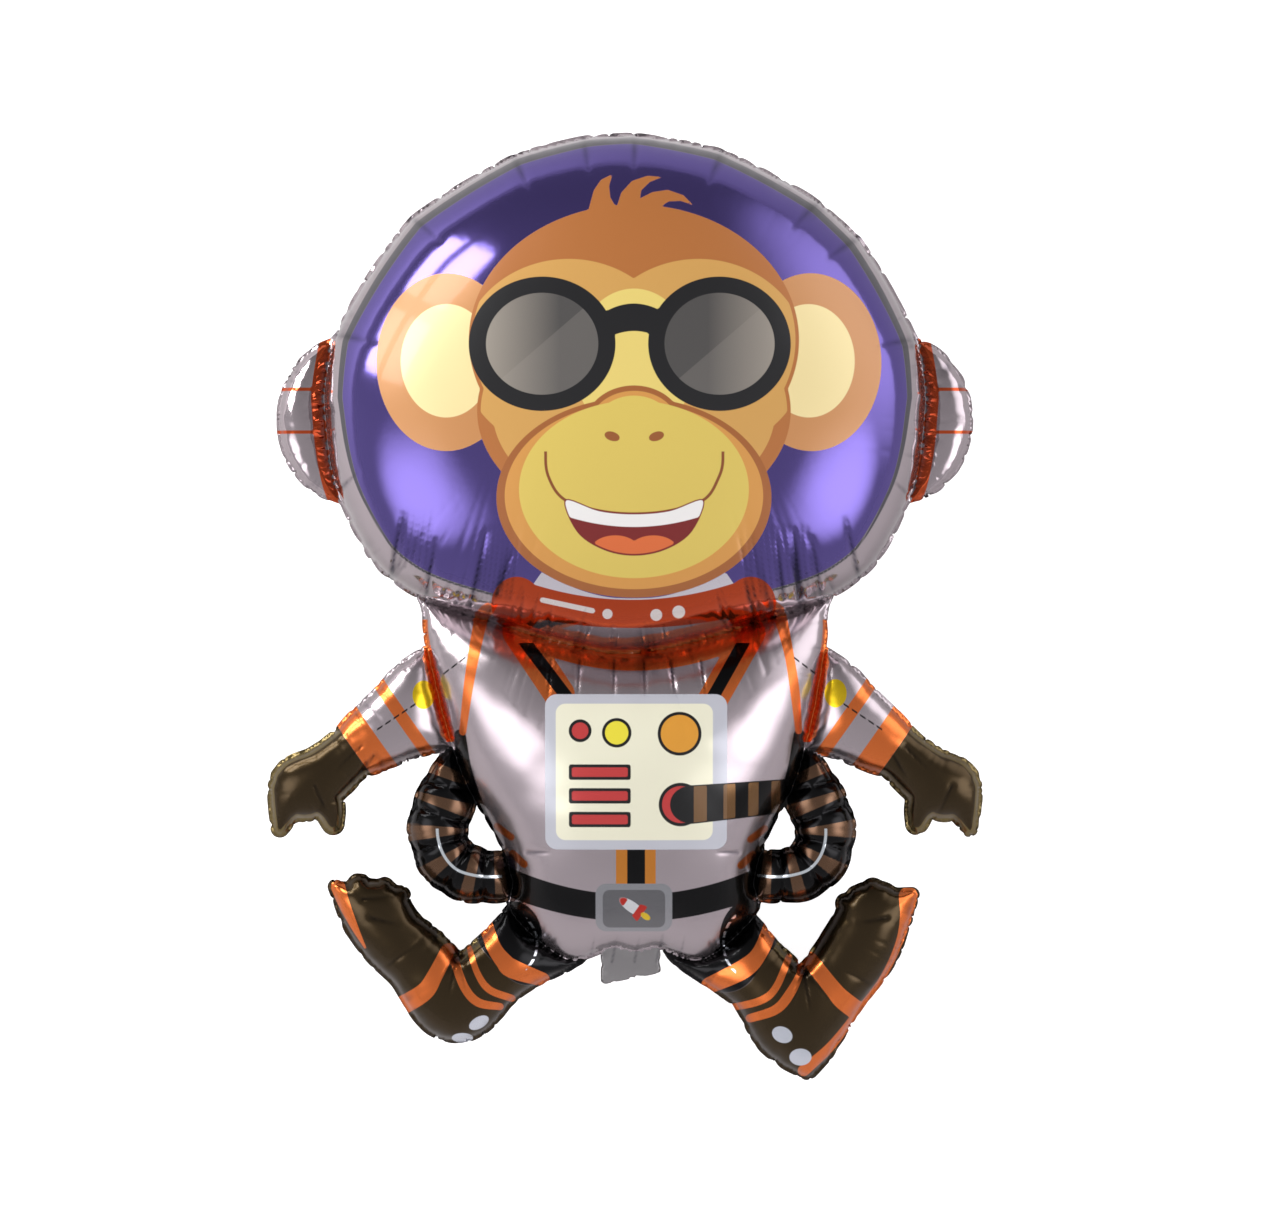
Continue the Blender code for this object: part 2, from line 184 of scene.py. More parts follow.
# Distance to the nearest centre less the radius there
def discs(places):
    x, y, radius = np.array(places, float).T
    return chunked(lambda p: (np.hypot(p[:, :1] - x, p[:, 1:] - y) - radius).min(axis=1))


# Ellipse: the scaled radius less one, over that radius's slope, which is close to a distance near its edge
def ellipse(points, cx, cy, rx, ry, turn=0.0):
    c, s = math.cos(math.radians(turn)), math.sin(math.radians(turn))
    x, y = points[:, 0] - cx, points[:, 1] - cy
    u, v = (c * x + s * y) / rx, (c * y - s * x) / ry
    radius = np.maximum(np.hypot(u, v), 1e-6)
    slope = np.hypot(u / rx, v / ry) / radius
    return (radius - 1) / np.maximum(slope, 1e-6)


def ovals(points, *sizes):
    return np.min([ellipse(points, *size) for size in sizes], axis=0)


# Box with round corners: distance from a box smaller by their radius, less the radius
def roundBox(points, x0, x1, y0, y1, corner):
    dx = np.abs(points[:, 0] - (x0 + x1) / 2) - (x1 - x0) / 2 + corner
    dy = np.abs(points[:, 1] - (y0 + y1) / 2) - (y1 - y0) / 2 + corner
    return np.hypot(np.maximum(dx, 0), np.maximum(dy, 0)) + np.minimum(np.maximum(dx, dy), 0) - corner


# Smooth noise from -1 to 1: values on a square lattice, blended with a smooth step
def latticeNoise(points, cell, seed):
    table = np.random.default_rng(seed).uniform(-1, 1, (64, 64))
    place = points / cell
    base = np.floor(place).astype(int)
    s, t = (place - base).T
    i, j = base.T % 64
    s, t = s * s * (3 - 2 * s), t * t * (3 - 2 * t)
    return blended(table, i, j, (i + 1) % 64, (j + 1) % 64, s, t)


# The head: a helmet with a pod on either side

headFoil = {
    "depth": 270.0,
    "restSpot": 2.0,
    "helmetCentre": (0.0, 177.0),
    "helmetHalfWidth": 252.5,
    "helmetTopRise": 221.5,
    "helmetSquareness": 1.92,
    "helmetLower": [
        (252.5, 177), (248, 130), (238, 91), (214, 44), (187, 19), (156, 4), (112, -9), (60, -25), (0, -36),
    ],
    # Long creases that reach the seam, in degrees round the helmet, and how much of the arc stays between two
    "facetAngles": (0, 13, 38, 49, 71, 88, 98, 112, 136, 166, 180),
    "facetBulge": 0.45,
    "domePower": 0.75,
    "podCentre": (233.0, 159.0),
    "podHalfWidth": 58.0,
    "podHalfHeight": 68.0,
    "podFullness": 0.97,
    "spacing": 2.15,
    "box": ((-310, -60), (310, 420)),
    "puckerPitch": 17.0,
    "puckerDepth": 2.6,
    "puckerReach": 17.0,
    "notch": 2.2,
    "softFolds": 0.35,  # height of the slow waves in the film
    "softPitch": 38.0,
    "seamWave": 1.1,
    "seed": 11,
    "roughness": 0.12,
    "coat": 0.3,
    "crackle": 0.12,
    "faceMetallic": 0.12,
    "faceRoughness": 0.34,
    # In the order of printing; a few layers are painted light, as noted beside them
    "inks": {
        # The dark grey line along the visor's edge is a painted dark reflection in the crease there, not
        # print
        "visor": "#62549a", "rim": "#5c5b60", "ears": "#c98d55", "earsInside": "#f3e0a2",
        "head": "#b57037", "mask": "#d4a257", "nose": "#ead376", "muzzleOuter": "#a5622f",
        "muzzleRing": "#d89a4c", "muzzle": "#dfc661", "smile": "#8a4a24", "frames": "#141416",
        # The grey of the lenses and the paler grey towards their outer sides are painted reflection of the
        # bare foil in the glasses
        "lenses": "#4f4d4b", "lensHalf": "#64615d", "lensPaintedSheen": "#b3aa9c", "nostrils": "#9a5a2c",
        "mouth": "#7c1f1e", "tongue": "#e0703a", "bite": "#f4f2ee", "wedges": "#ece6ee",
        # The pale line along the helmet's bottom seam is a painted glint on the seam's edge, not print
        "collar": "#c5481d", "whiteMarks": "#f6ece8", "hem": "#e9dcd2", "pods": "#cf5526",
    },
}


# Upper half a superellipse whose arcs between long creases are drawn towards their chords,
# lower half a smooth curve down to the collar
def helmetOutline():
    d = headFoil
    power = 2 / d["helmetSquareness"]

    def arc(angle):
        across = np.sign(np.cos(angle)) * np.abs(np.cos(angle)) ** power
        up = np.abs(np.sin(angle)) ** power
        return np.column_stack([d["helmetHalfWidth"] * across, d["helmetTopRise"] * up]) + d["helmetCentre"]

    knots = np.radians(d["facetAngles"])
    angle = np.linspace(0, np.pi, 180, endpoint=False)[1:]
    corners = arc(knots)
    chord = np.column_stack([np.interp(angle, knots, corners[:, k]) for k in range(2)])
    top = chord + d["facetBulge"] * (arc(angle) - chord)
    lower = d["helmetLower"][:-1] + mirrored(d["helmetLower"])[::-1]
    return np.vstack([top, smoothCurve(lower, 6)[::-1]])


# An ellipse beside the helmet
def podOutline(side):
    d = headFoil
    angle = np.linspace(0, 2 * np.pi, 48, endpoint=False)
    x = side * (d["podCentre"][0] + d["podHalfWidth"] * np.cos(angle))
    return np.column_stack([x, d["podCentre"][1] + d["podHalfHeight"] * np.sin(angle)])


# Each pocket is its name, its signed distance and its fullness
def headPockets():
    box = headFoil["box"]
    helmet = gridded(outlineField(helmetOutline()), box)
    pockets = [("helmet", helmet, None)]
    for side, name in ((-1, "podLeft"), (1, "podRight")):
        pod = cutBy(gridded(outlineField(podOutline(side)), box), helmet, welds["gap"])
        pockets.append((name, pod, headFoil["podFullness"]))
    return pockets


# The body: torso, arms, hoses, legs and the flat inflation tail. Limbs are middle lines: x, y, half width.

bodyFoil = {
    "torsoSide": [
        (150, 40), (168, -5), (160, -65), (148, -115), (136, -150), (114, -190),
        (101, -230), (102, -258), (58, -296), (20, -287), (0, -290),
    ],
    "torsoLean": 0.030,
    "torsoFullness": 0.88,
    "limbFullness": 0.97,
    "arm": [
        (142, -70, 44), (165, -80, 40), (190, -95, 32), (213, -110, 27), (231, -122, 22), (254, -141, 24),
        (271, -151, 27),
    ],
    "fingers": [(277, -152, 23), (286, -168, 13), (292, -186, 5)],
    "thumb": [(262, -152, 20), (251, -168, 12), (247, -182, 7)],
    "hose": [
        (144, -128, 12), (152, -146, 17), (157, -164, 22), (164, -184, 22), (161, -205, 21.5),
        (150, -220, 21.5), (133, -226, 20.5), (116, -227, 19), (100, -225, 15),
    ],
    "hoseBulge": 0.16,
    "hosePitch": 25.0,
    "legLeft": [
        (-62, -270, 38), (-97, -297, 30), (-118, -314, 29.5), (-145, -335, 32), (-173, -301, 29),
        (-197, -279, 27.5), (-211, -259, 28),
    ],
    "solesLeft": [(-222, -256, 19), (-245, -236, 4)],
    "toesLeft": [(-225, -237, 10), (-205, -238, 8), (-191, -244, 7)],
    "legRight": [
        (68, -272, 38), (110, -309, 31), (124, -324, 31.5), (147, -356, 32.5), (176, -320, 30),
        (200, -286, 31), (211, -262, 29),
    ],
    "solesRight": [(222, -260, 20), (243, -243, 4)],
    "heelRight": [(150, -362, 31), (155, -391, 7.5)],
    "toesRight": [(210, -239, 8), (197, -244, 7), (187, -250, 6), (221, -242, 6)],
    "tail": [(-17.5, -286), (27.5, -286), (27.5, -307), (-17.5, -316)],
    "tailThickness": 1.6,
    "neckGap": 3.5,
    "middleDrop": 1.5,
    "slope": 0.375,
    "neckBend": 40.0,
    "spacing": 1.95,
    "box": ((-330, -430), (330, 40)),
    "puckerPitch": 14.0,
    "puckerDepth": 2.6,
    "puckerReach": 12.0,
    "notch": 1.6,
    "softFolds": 0.8,
    "softPitch": 22.0,
    "seamWave": 1.0,
    "seed": 23,
    "roughness": 0.24,
    "coat": 0.15,
    "crackle": 0.15,
    "solidMetallic": 0.25,  # of the panel and the tail
    # In the order of printing; a few layers are painted light, as noted beside them
    "inks": {
        # The khaki line just inside the outline of the gloves and the boot tops is a painted highlight, not
        # print
        "black": "#141415", "brown": "#40331f", "rings": "#6b503c", "edge": "#7c6c45",
        "orangeBack": "#ea7a3b", "orange": "#ea7a3b", "blackOver": "#131314", "stripe": "#e0903c",
        "stripeBlack": "#141415", "panelFrame": "#c9cbd3", "panel": "#f9f7dc", "outlines": "#151515",
        "red": "#c9403f", "dotYellow": "#f6e843", "dotOrange": "#e9a33a", "printedRings": "#7a5a3a",
        "buckle": "#a2a3a7", "buckleInside": "#77777a", "rocket": "#eef0f2", "rocketRed": "#cf3b32",
        "rocketFlame": "#f1cf3c", "buttons": "#edcb22", "bootDots": "#dfe4ee", "tabs": "#c9672c",
        "hipArc": "#dfe4ea", "hoseArc": "#e4ecf0", "stitch": "#2a2626", "tail": "#8d8b8b",
    },
}


# Lower stations move outwards in proportion to how low they lie
def leaning(stations):
    return [(x - bodyFoil["torsoLean"] * min(y, 0), y, *rest) for x, y, *rest in stations]


def bodyPockets():
    d = bodyFoil
    box = d["box"]
    helmet = gridded(outlineField(helmetOutline()), box)
    outline = smoothCurve(leaning(d["torsoSide"] + mirrored(d["torsoSide"][:-1])[::-1]), 6, closed=True)
    torso = cutBy(gridded(outlineField(outline), box), helmet, d["neckGap"])
    pockets = [("torso", torso, d["torsoFullness"])]
    for turn, side in ((mirrored, "Left"), (list, "Right")):
        arm = gridded(joined(*(limbField(turn(d[key])) for key in ("arm", "fingers", "thumb"))), box)
        arm = cutBy(cutBy(arm, torso, welds["gap"]), helmet, d["neckGap"])
        hose = gridded(limbField(leaning(turn(d["hose"])), d["hoseBulge"], d["hosePitch"]), box)
        hose = cutBy(cutBy(hose, torso, welds["gap"]), arm, welds["gap"])
        pockets.append(("arm" + side, arm, d["limbFullness"]))
        pockets.append(("hose" + side, hose, d["limbFullness"]))
    legs = {"Left": ("legLeft", "solesLeft"), "Right": ("legRight", "solesRight", "heelRight")}
    for side, keys in legs.items():
        leg = joined(*(limbField(d[key]) for key in keys), discs(d["toes" + side]))
        pockets.append(("leg" + side, cutBy(gridded(leg, box), torso, welds["gap"]), d["limbFullness"]))
    pockets.append(("tail", cutBy(outlineField(np.array(d["tail"], float)), torso, 0), 0.0))
    return pockets


# The flat pattern: a triangle lattice whose points are moved onto the outline and the weld lines

welds = {
    "gap": 2.4,  # flat weld between two pockets
    "outer": 3.2,  # free flat edge round the outline
    "thickness": 1.0,
    "pressureGrid": 3.0,  # mm between the nodes on which the inflated height is solved
    "rippleCells": (9.0, 4.5),  # mm, of the waves along the seams
    "rippleReach": 6.0,  # mm over which they fade inwards
    "deepestFold": 0.6,  # share of the height that folds may take away
    "backFold": 0.8,  # depth of the back's puckers as a share of the front's
}


# Rows 0.866 of the spacing apart, every second one moved by half the spacing
def triangleLattice(low, high, spacing):
    low, high = np.array(low, float), np.array(high, float)
    columns, rows = ((high - low) / (spacing, 0.866 * spacing)).astype(int) + 2
    j, i = np.mgrid[0:rows, 0:columns]
    points = low + spacing * np.stack([i + 0.5 * (j % 2), 0.866 * j], axis=-1).reshape(-1, 2)
    here = (j * columns + i)[:-1, :-1]
    right, up, corner = here + 1, here + columns, here + columns + 1
    odd = (j[:-1, :-1] % 2 == 1)[..., None]
    first = np.where(odd, np.stack([here, right, corner], -1), np.stack([here, right, up], -1))
    second = np.where(odd, np.stack([here, corner, up], -1), np.stack([right, corner, up], -1))
    return points, np.concatenate([first.reshape(-1, 3), second.reshape(-1, 3)])


# Half the difference between the field a step to either side, in x and in y
def slopeOf(field, points, step):
    right, left = field(points + (step, 0)), field(points - (step, 0))
    above, below = field(points + (0, step)), field(points - (0, step))
    return np.column_stack([right - left, above - below]) / (2 * step)


def sides(triangles):
    return np.concatenate([triangles[:, [0, 1]], triangles[:, [1, 2]], triangles[:, [2, 0]]])


# Newton steps down the slope of the field, for the end of each crossed edge that is nearer to zero
def snapped(points, triangles, field, spacing, near=None):
    value = field(points)
    ends = sides(triangles)
    first, second = ends[(value[ends[:, 0]] < 0) != (value[ends[:, 1]] < 0)].T
    moved = np.unique(np.where(np.abs(value[first]) <= np.abs(value[second]), first, second))
    if near is not None:
        moved = moved[np.abs(near(points[moved])) < spacing]
    points = points.copy()
    for _ in range(3):
        here = points[moved]
        slope = slopeOf(field, here, 0.02 * spacing)
        steep = np.maximum((slope**2).sum(axis=1, keepdims=True), 0.2)
        points[moved] = here - field(here)[:, None] * slope / steep
    return points


# The sides that belong to one triangle only
def outlineEdges(triangles):
    edges, count = np.unique(np.sort(sides(triangles), axis=1), axis=0, return_counts=True)
    return edges[count == 1]


# Points that were moved onto one place are joined
def withoutDoubles(points, triangles, step):
    _, first, same = np.unique(np.round(points / step), axis=0, return_index=True, return_inverse=True)
    triangles = first[same.reshape(-1)][triangles]
    a, b, c = triangles.T
    return triangles[(a != b) & (b != c) & (c != a)]


# Slivers along the outline are left out, and so are triangles where two stretches of it meet
def tidyOutline(points, triangles, spacing):
    while True:
        a, b, c = (points[triangles[:, k]] for k in range(3))
        area = 0.5 * np.abs(np.cross(b - a, c - a))
        stretches = np.bincount(outlineEdges(triangles).ravel(), minlength=len(points))
        onOutline = (stretches[triangles] > 0).sum(axis=1) >= 2
        drop = (stretches > 2)[triangles].any(axis=1) | (onOutline & (area < 0.05 * spacing**2))
        if not drop.any():
            return triangles
        triangles = triangles[~drop]


# Every point takes the lowest number among its neighbours until none changes: one number for each piece
def largestPiece(triangles, count):
    label = np.arange(count)
    while True:
        low = label[triangles].min(axis=1)
        new = label.copy()
        np.minimum.at(new, triangles.ravel(), np.repeat(low, 3))
        new = new[new]
        if (new == label).all():
            break
        label = new
    owner = label[triangles[:, 0]]
    names, sizes = np.unique(owner, return_counts=True)
    return triangles[owner == names[sizes.argmax()]]


def inUse(points, triangles):
    used, index = np.unique(triangles, return_inverse=True)
    return points[used], index.reshape(-1, 3)


def flatPattern(pockets, look):
    fields = [field for _, field, _ in pockets]
    spacing = look["spacing"]
    points, triangles = triangleLattice(*look["box"], spacing)

    # The free edge is drawn in where the seam is gathered
    def merged(places):
        return joined(*fields)(places) - welds["outer"] + look["notch"] * gathers(places, look, 0.15)

    coarse = merged(points)
    points, triangles = inUse(points, triangles[(coarse[triangles] < 1.5 * spacing).any(axis=1)])

    # Half the difference between one pocket's distance and the nearest of the rest
    def weld(index):
        def field(places):
            rest = np.min([other(places) for other in fields[index + 1 :]], axis=0)
            return (fields[index](places) - rest) / 2

        return field

    for index in range(len(fields) - 1):
        points = snapped(points, triangles, weld(index), spacing, fields[index])
    outside = merged(points) > 0
    points = snapped(points, triangles, merged, spacing)
    outside &= merged(points) > 0.01 * spacing
    triangles = triangles[~outside[triangles].any(axis=1)]
    triangles = withoutDoubles(points, triangles, 0.08 * spacing)
    triangles = triangles[merged(points[triangles].mean(axis=1)) < 0]
    return inUse(points, largestPiece(tidyOutline(points, triangles, spacing), len(points)))


# Inflated height: u solves Poisson's equation with an even load and u = 0 on the welds,
# by conjugate gradients on a square grid, and the foil stands sqrt(2u) off its middle
def pressure(inside, spacing):
    load = inside * spacing**2
    height = np.zeros(inside.shape)
    rest = load.copy()
    step = rest.copy()
    size = first = (rest**2).sum()
    for _ in range(900):
        pull = 4 * step
        pull[1:] -= step[:-1]
        pull[:-1] -= step[1:]
        pull[:, 1:] -= step[:, :-1]
        pull[:, :-1] -= step[:, 1:]
        pull *= inside
        share = size / (step * pull).sum()
        height += share * step
        rest -= share * pull
        new = (rest**2).sum()
        if new < 1e-11 * first:
            break
        step = rest + new / size * step
        size = new
    return height


# Near a weld the squared height grows in proportion to the distance from it
def pocketHeight(field, points):
    spacing = welds["pressureGrid"]
    low = points.min(axis=0) - 2 * spacing
    high = points.max(axis=0) + 2 * spacing
    columns, rows = np.ceil((high - low) / spacing).astype(int) + 1
    depth = -onGrid(field, low, spacing, columns, rows)
    squared = 2 * pressure(depth > 0, spacing)
    rate = np.where(depth > spacing, squared / np.maximum(depth, spacing), 0)
    weight = (depth > spacing).astype(float)
    turns = ((1, 0), (-1, 0), (1, 1), (-1, 1))
    for _ in range(3):
        spread = sum(np.roll(rate * weight, shift, axis) for shift, axis in turns)
        many = sum(np.roll(weight, shift, axis) for shift, axis in turns)
        rate = np.where(weight > 0, rate, spread / np.maximum(many, 1))
        weight = np.maximum(weight, many > 0)
    near = np.maximum(-field(points), 0)
    far = sampled(squared, low, spacing, points)
    close = near * sampled(rate, low, spacing, points)
    blend = np.clip((near - spacing) / (0.5 * spacing), 0, 1)
    return np.sqrt(np.maximum(close * (1 - blend) + far * blend, 0))


# 1 on the lines where the seam is gathered, falling off to either side: exp(-|n| / width), n a noise
def gathers(points, look, width):
    pitch, seed = look["puckerPitch"], look["seed"]
    n = latticeNoise(points, pitch, seed) + 0.5 * latticeNoise(points, 0.5 * pitch, seed + 1)
    return np.exp(-np.abs(n) / width)


# Puckers run square to the seam from its gathers, read at the seam's nearest point, and fade inwards
def puckers(field, points, look, longer):
    depth = np.maximum(-field(points), 0)
    slope = slopeOf(field, points, 0.5)
    slope /= np.maximum(np.hypot(*slope.T)[:, None], 0.3)
    foot = points + depth[:, None] * slope
    pitch, seed = look["puckerPitch"], look["seed"]
    strength = 0.75 + 0.5 * latticeNoise(foot, 4.1 * pitch, seed + 2)
    reach = look["puckerReach"] * (0.75 + 0.6 * latticeNoise(foot, 2.3 * pitch, seed + 3)) * longer(foot)
    fade = np.exp(-depth / reach) * np.minimum(depth / 3, 1)
    return look["puckerDepth"] * strength * gathers(foot, look, 0.13) * fade


# Single creases: a valley along a line, deepest where it starts and gone at its end
def creaseDepth(points, creases):
    total = np.zeros(len(points))
    for x0, y0, x1, y1, width, depth in np.array(creases, float):
        distance, t = segmentDistance(points, np.array([[x0, y0]]), np.array([[x1, y1]]))
        total += depth * np.exp(-distance[:, 0] / width) * np.cos(0.5 * np.pi * t[:, 0]) ** 0.7
    return total


# Height of the surface half way between the two sheets
def headMiddle(points):
    return np.full(len(points), 0.5 * headFoil["depth"] - headFoil["restSpot"])


# The body hangs on the neck seam and falls towards the boots, which reach the floor
def bodyMiddle(points):
    d = bodyFoil
    below = np.maximum(headFoil["helmetLower"][-1][1] - points[:, 1], 0)
    return headMiddle(points) - d["middleDrop"] - d["slope"] * below**2 / (below + d["neckBend"])


# At each point: half the balloon's thickness, the puckers' depth, how far inside its pocket it lies, and
# which pocket that is
def heights(pockets, points, look, longer):
    fields = np.array([field(points) for _, field, _ in pockets])
    owner = fields.argmin(axis=0)
    height = np.full(len(points), 0.5 * welds["thickness"])
    fold = np.zeros(len(points))
    for index, (name, field, fullness) in enumerate(pockets):
        mine = (owner == index) & (fields[index] < 0)
        if name == "tail":
            height[mine] = 0.5 * bodyFoil["tailThickness"]
            continue
        rise = pocketHeight(field, points[mine])
        if name == "helmet":
            rise = 0.5 * headFoil["depth"] * (rise / rise.max()) ** headFoil["domePower"]
        else:
            rise = fullness * rise
        height[mine] = np.maximum(rise, height[mine])
        fold[mine] = puckers(field, points[mine], look, longer)
    return height, fold, -fields.min(axis=0), owner


# Both sheets over one flat pattern. They share the points of the outline.
def foilPillow(name, pockets, middle, look, longer, creases, prints):
    points, triangles = flatPattern(pockets, look)
    edge = np.unique(outlineEdges(triangles))
    inside = np.ones(len(points), bool)
    inside[edge] = False
    height, fold, depth, owner = heights(pockets, points, look, longer)
    height[edge] = 0
    centre = middle(points)
    coarse, fine = welds["rippleCells"]
    wave = latticeNoise(points, coarse, 3) + 0.6 * latticeNoise(points, fine, 4)
    centre = centre + look["seamWave"] * wave * np.exp(-np.maximum(depth, 0) / welds["rippleReach"])
    soft = look["softFolds"] * latticeNoise(points, look["softPitch"], 5) * np.clip(height / 30, 0, 1)
    marks = creaseDepth(points, creases)
    most = welds["deepestFold"] * height
    front = np.maximum(height - np.minimum(fold + marks, most) + soft, 0.0)
    back = np.maximum(height - np.minimum(welds["backFold"] * fold, most), 0.0)
    front[edge] = back[edge] = 0
    top = np.column_stack([points, np.maximum(centre + front, 0)])
    low = np.column_stack([points, np.maximum(centre - back, 0)])
    below = np.where(inside, np.cumsum(inside) - 1 + len(points), np.arange(len(points)))
    vertices = np.vstack([top, low[inside]]) * metre
    faces = np.vstack([triangles, below[triangles[:, ::-1]]])
    mesh = bpy.data.meshes.new(name)
    mesh.from_pydata(vertices.tolist(), [], faces.tolist())
    inks, alsoBehind = prints(points, pockets, depth, owner)
    # Painted shade: how deep the puckers and creases are, which darkens the film's colour there
    inks["foldShade"] = np.clip(film["shadePerMillimetre"] * (fold + marks), 0, 1)
    alsoBehind += ("foldShade",)
    hidden = np.full(inside.sum(), far)
    for layer, onFront in inks.items():
        values = np.concatenate([onFront, onFront[inside] if layer in alsoBehind else hidden])
        mesh.attributes.new(layer, "FLOAT", "POINT").data.foreach_set("value", values.astype(np.float32))
    mesh.shade_smooth()
    piece = bpy.data.objects.new(name, mesh)
    bpy.context.scene.collection.objects.link(piece)
    print(name, len(faces), "triangles")
    return piece


# Prints, and a few marks of painted light drawn the same way. Each ink is a signed distance, negative where
# it lies. The second result names the inks that the back sheet carries too.

# Where any of several shapes lies
def union(*distances):
    return np.minimum.reduce(distances)


# Where all of them lie
def overlap(*distances):
    return np.maximum.reduce(distances)


# A shape on one part of the film
def only(where, distances):
    return np.where(where, distances, far)


def headPrint(points, pockets, depth, owner):
    x, y = points.T
    helmet = pockets[0][1](points)
    cx = 7.7  # middle of the face
    inks = {}
    inks["ears"] = ovals(points, (-149, 206, 59, 74.5), (156, 206, 59, 74.5))
    inks["earsInside"] = ovals(points, (-149, 207, 38.5, 47.5), (154, 207, 38.5, 47.5))
    face = ovals(points, (cx, 224.5, 138, 113.5), (cx, 165, 131, 95))
    tuft = [
        (-34, 318), (-30, 335), (-26, 350), (-20, 359), (-10, 364), (-13, 354), (-12, 344), (-7, 335),
        (-3, 348), (6, 358), (19, 362.5), (32, 361.5), (21, 357), (14, 350), (12.5, 343), (23, 348.5),
        (36, 350.5), (49, 346), (58, 337), (47, 341), (37, 340.5), (31, 337), (36, 322),
    ]
    hair = nearOnly(points, (-60, 300), (90, 380), np.array(tuft, float))
    inks["head"] = union(face, hair)
    mask = ovals(points, (-47, 211, 90, 81), (62, 211, 90, 81), (cx, 165, 118, 84))
    inks["mask"] = overlap(mask, face + 3)
    inks["nose"] = ovals(points, (cx, 205, 50, 62))
    bridge = overlap(np.abs(y - 243 + 0.012 * (x - cx) ** 2) - 11.5, np.abs(x - cx) - 32)
    frames = ovals(points, (-69, 221, 61.3, 56.2), (79.2, 221, 59.6, 56.2))
    inks["frames"] = union(frames, bridge)
    # Painted reflection: the glasses are bare foil, and this matt grey stands in for what the foil reflects
    inks["lenses"] = ovals(points, (-69, 221, 46.9, 42.6), (79.2, 221, 46, 42.6))
    inks["split"] = (y - 221 - 0.86 * np.where(x < cx, x + 69, x - 79.2)) / 1.32
    # Distance from the middle of the face, which sets the painted sheen on the outer sides of the lenses
    inks["lensGlow"] = np.abs(x - cx)
    muzzleOuter = ovals(points, (cx, 92.4, 115, 83.5), (cx, 152, 41, 34))
    inks["muzzleOuter"] = muzzleOuter
    inks["muzzleRing"] = ovals(points, (cx, 94, 108, 78), (cx, 151, 37.5, 30.5))
    inks["muzzle"] = ovals(points, (cx, 99.3, 96, 74), (cx, 150, 33.5, 27.5))
    inks["face"] = union(face, hair, inks["ears"], muzzleOuter)
    inks["nostrils"] = ovals(points, (-10.5, 143.6, 6.6, 3.8, -18), (26.5, 143.6, 6.6, 3.8, 18))
    smile = [
        (-66, 128), (-62, 106), (-49, 90), (-21, 81.5), (cx, 79), (37, 81.5), (65, 90), (77, 106), (82, 128),
        (75, 175), (cx, 190), (-60, 175),
    ]
    smile = smoothCurve(smile, 8, closed=True)
    inks["smileLine"] = nearOnly(points, (-90, 60), (105, 200), smile)
    inks["smileTop"] = y - 131
    lips = [
        (-50, 91), (-21, 82), (cx, 79.5), (37, 82), (66, 91), (56, 64), (34, 49), (cx, 44), (-18, 49),
        (-40, 64),
    ]
    mouth = nearOnly(points, (-70, 30), (90, 110), smoothCurve(lips, 6, closed=True))
    inks["mouth"] = mouth
    inks["tongue"] = overlap(ovals(points, (-8, 49, 20, 12), (24, 49, 20, 12)), mouth + 1.5)
    inks["bite"] = overlap(mouth + 1.0, 68 + 0.0028 * (x - cx) ** 2 - y)
    side = np.abs(x - 7.5)
    collarTop = 7.2 + 0.0019 * (x - 6) ** 2
    collarLow = -16.5 + 0.00125 * (x - 6) ** 2
    collar = overlap(y - collarTop, collarLow - y, side - 97)
    inks["collar"] = union(collar, ovals(points, (-90.5, 3, 21.5, 23.5), (105.5, 3, 21.5, 23.5)))
    # Painted glint: a pale line within 1.3 mm of the helmet's bottom seam, where the seam's edge catches the
    # light
    inks["hem"] = only(y < -14, depth - 1.3)
    dash = straightLine(points, -69, 7, -27, -2, 2.2)
    dots = ovals(points, (-14.5, -4.7, 4.3, 4.3), (26.4, -5.5, 5, 5), (45.2, -3, 5.4, 5.4))
    inks["whiteMarks"] = union(dash, dots)
    crescentTop = collarTop + 1.2 + 11 * np.clip((side - 15) / 62, 0, 1) ** 1.6
    wedgeEnd = side + 0.7 * (y - 26) - 80
    inks["wedges"] = overlap(y - crescentTop, collarTop - 2 - y, wedgeEnd, -muzzleOuter)
    # The visor keeps off the seam, most of all low down and at the sides, and ends at the collar
    visorEdge = 8 + 13 * np.clip((230 - y) / 260, 0, 1) + 5 * np.clip(np.abs(x) / 250, 0, 1)
    visor = overlap(helmet + visorEdge, collarTop - y - 60 * np.clip((side - 86) / 16, 0, 1))
    inks["visor"] = visor
    # Painted dark reflection: a dark grey line along the visor's edge, wider higher up
    rimHalf = 1.1 + 1.9 * np.clip((y - 60) / 220, 0, 1)
    inks["rim"] = np.abs(visor - rimHalf) - rimHalf
    # Each pod has a band along the helmet's weld and two thin lines across it
    across = union(np.abs(y - 184.6), np.abs(y - 148.5)) - 1.4
    inks["pods"] = only(owner > 0, union(np.abs(helmet - 6.5) - 5.5, across))
    return inks, ("pods",)


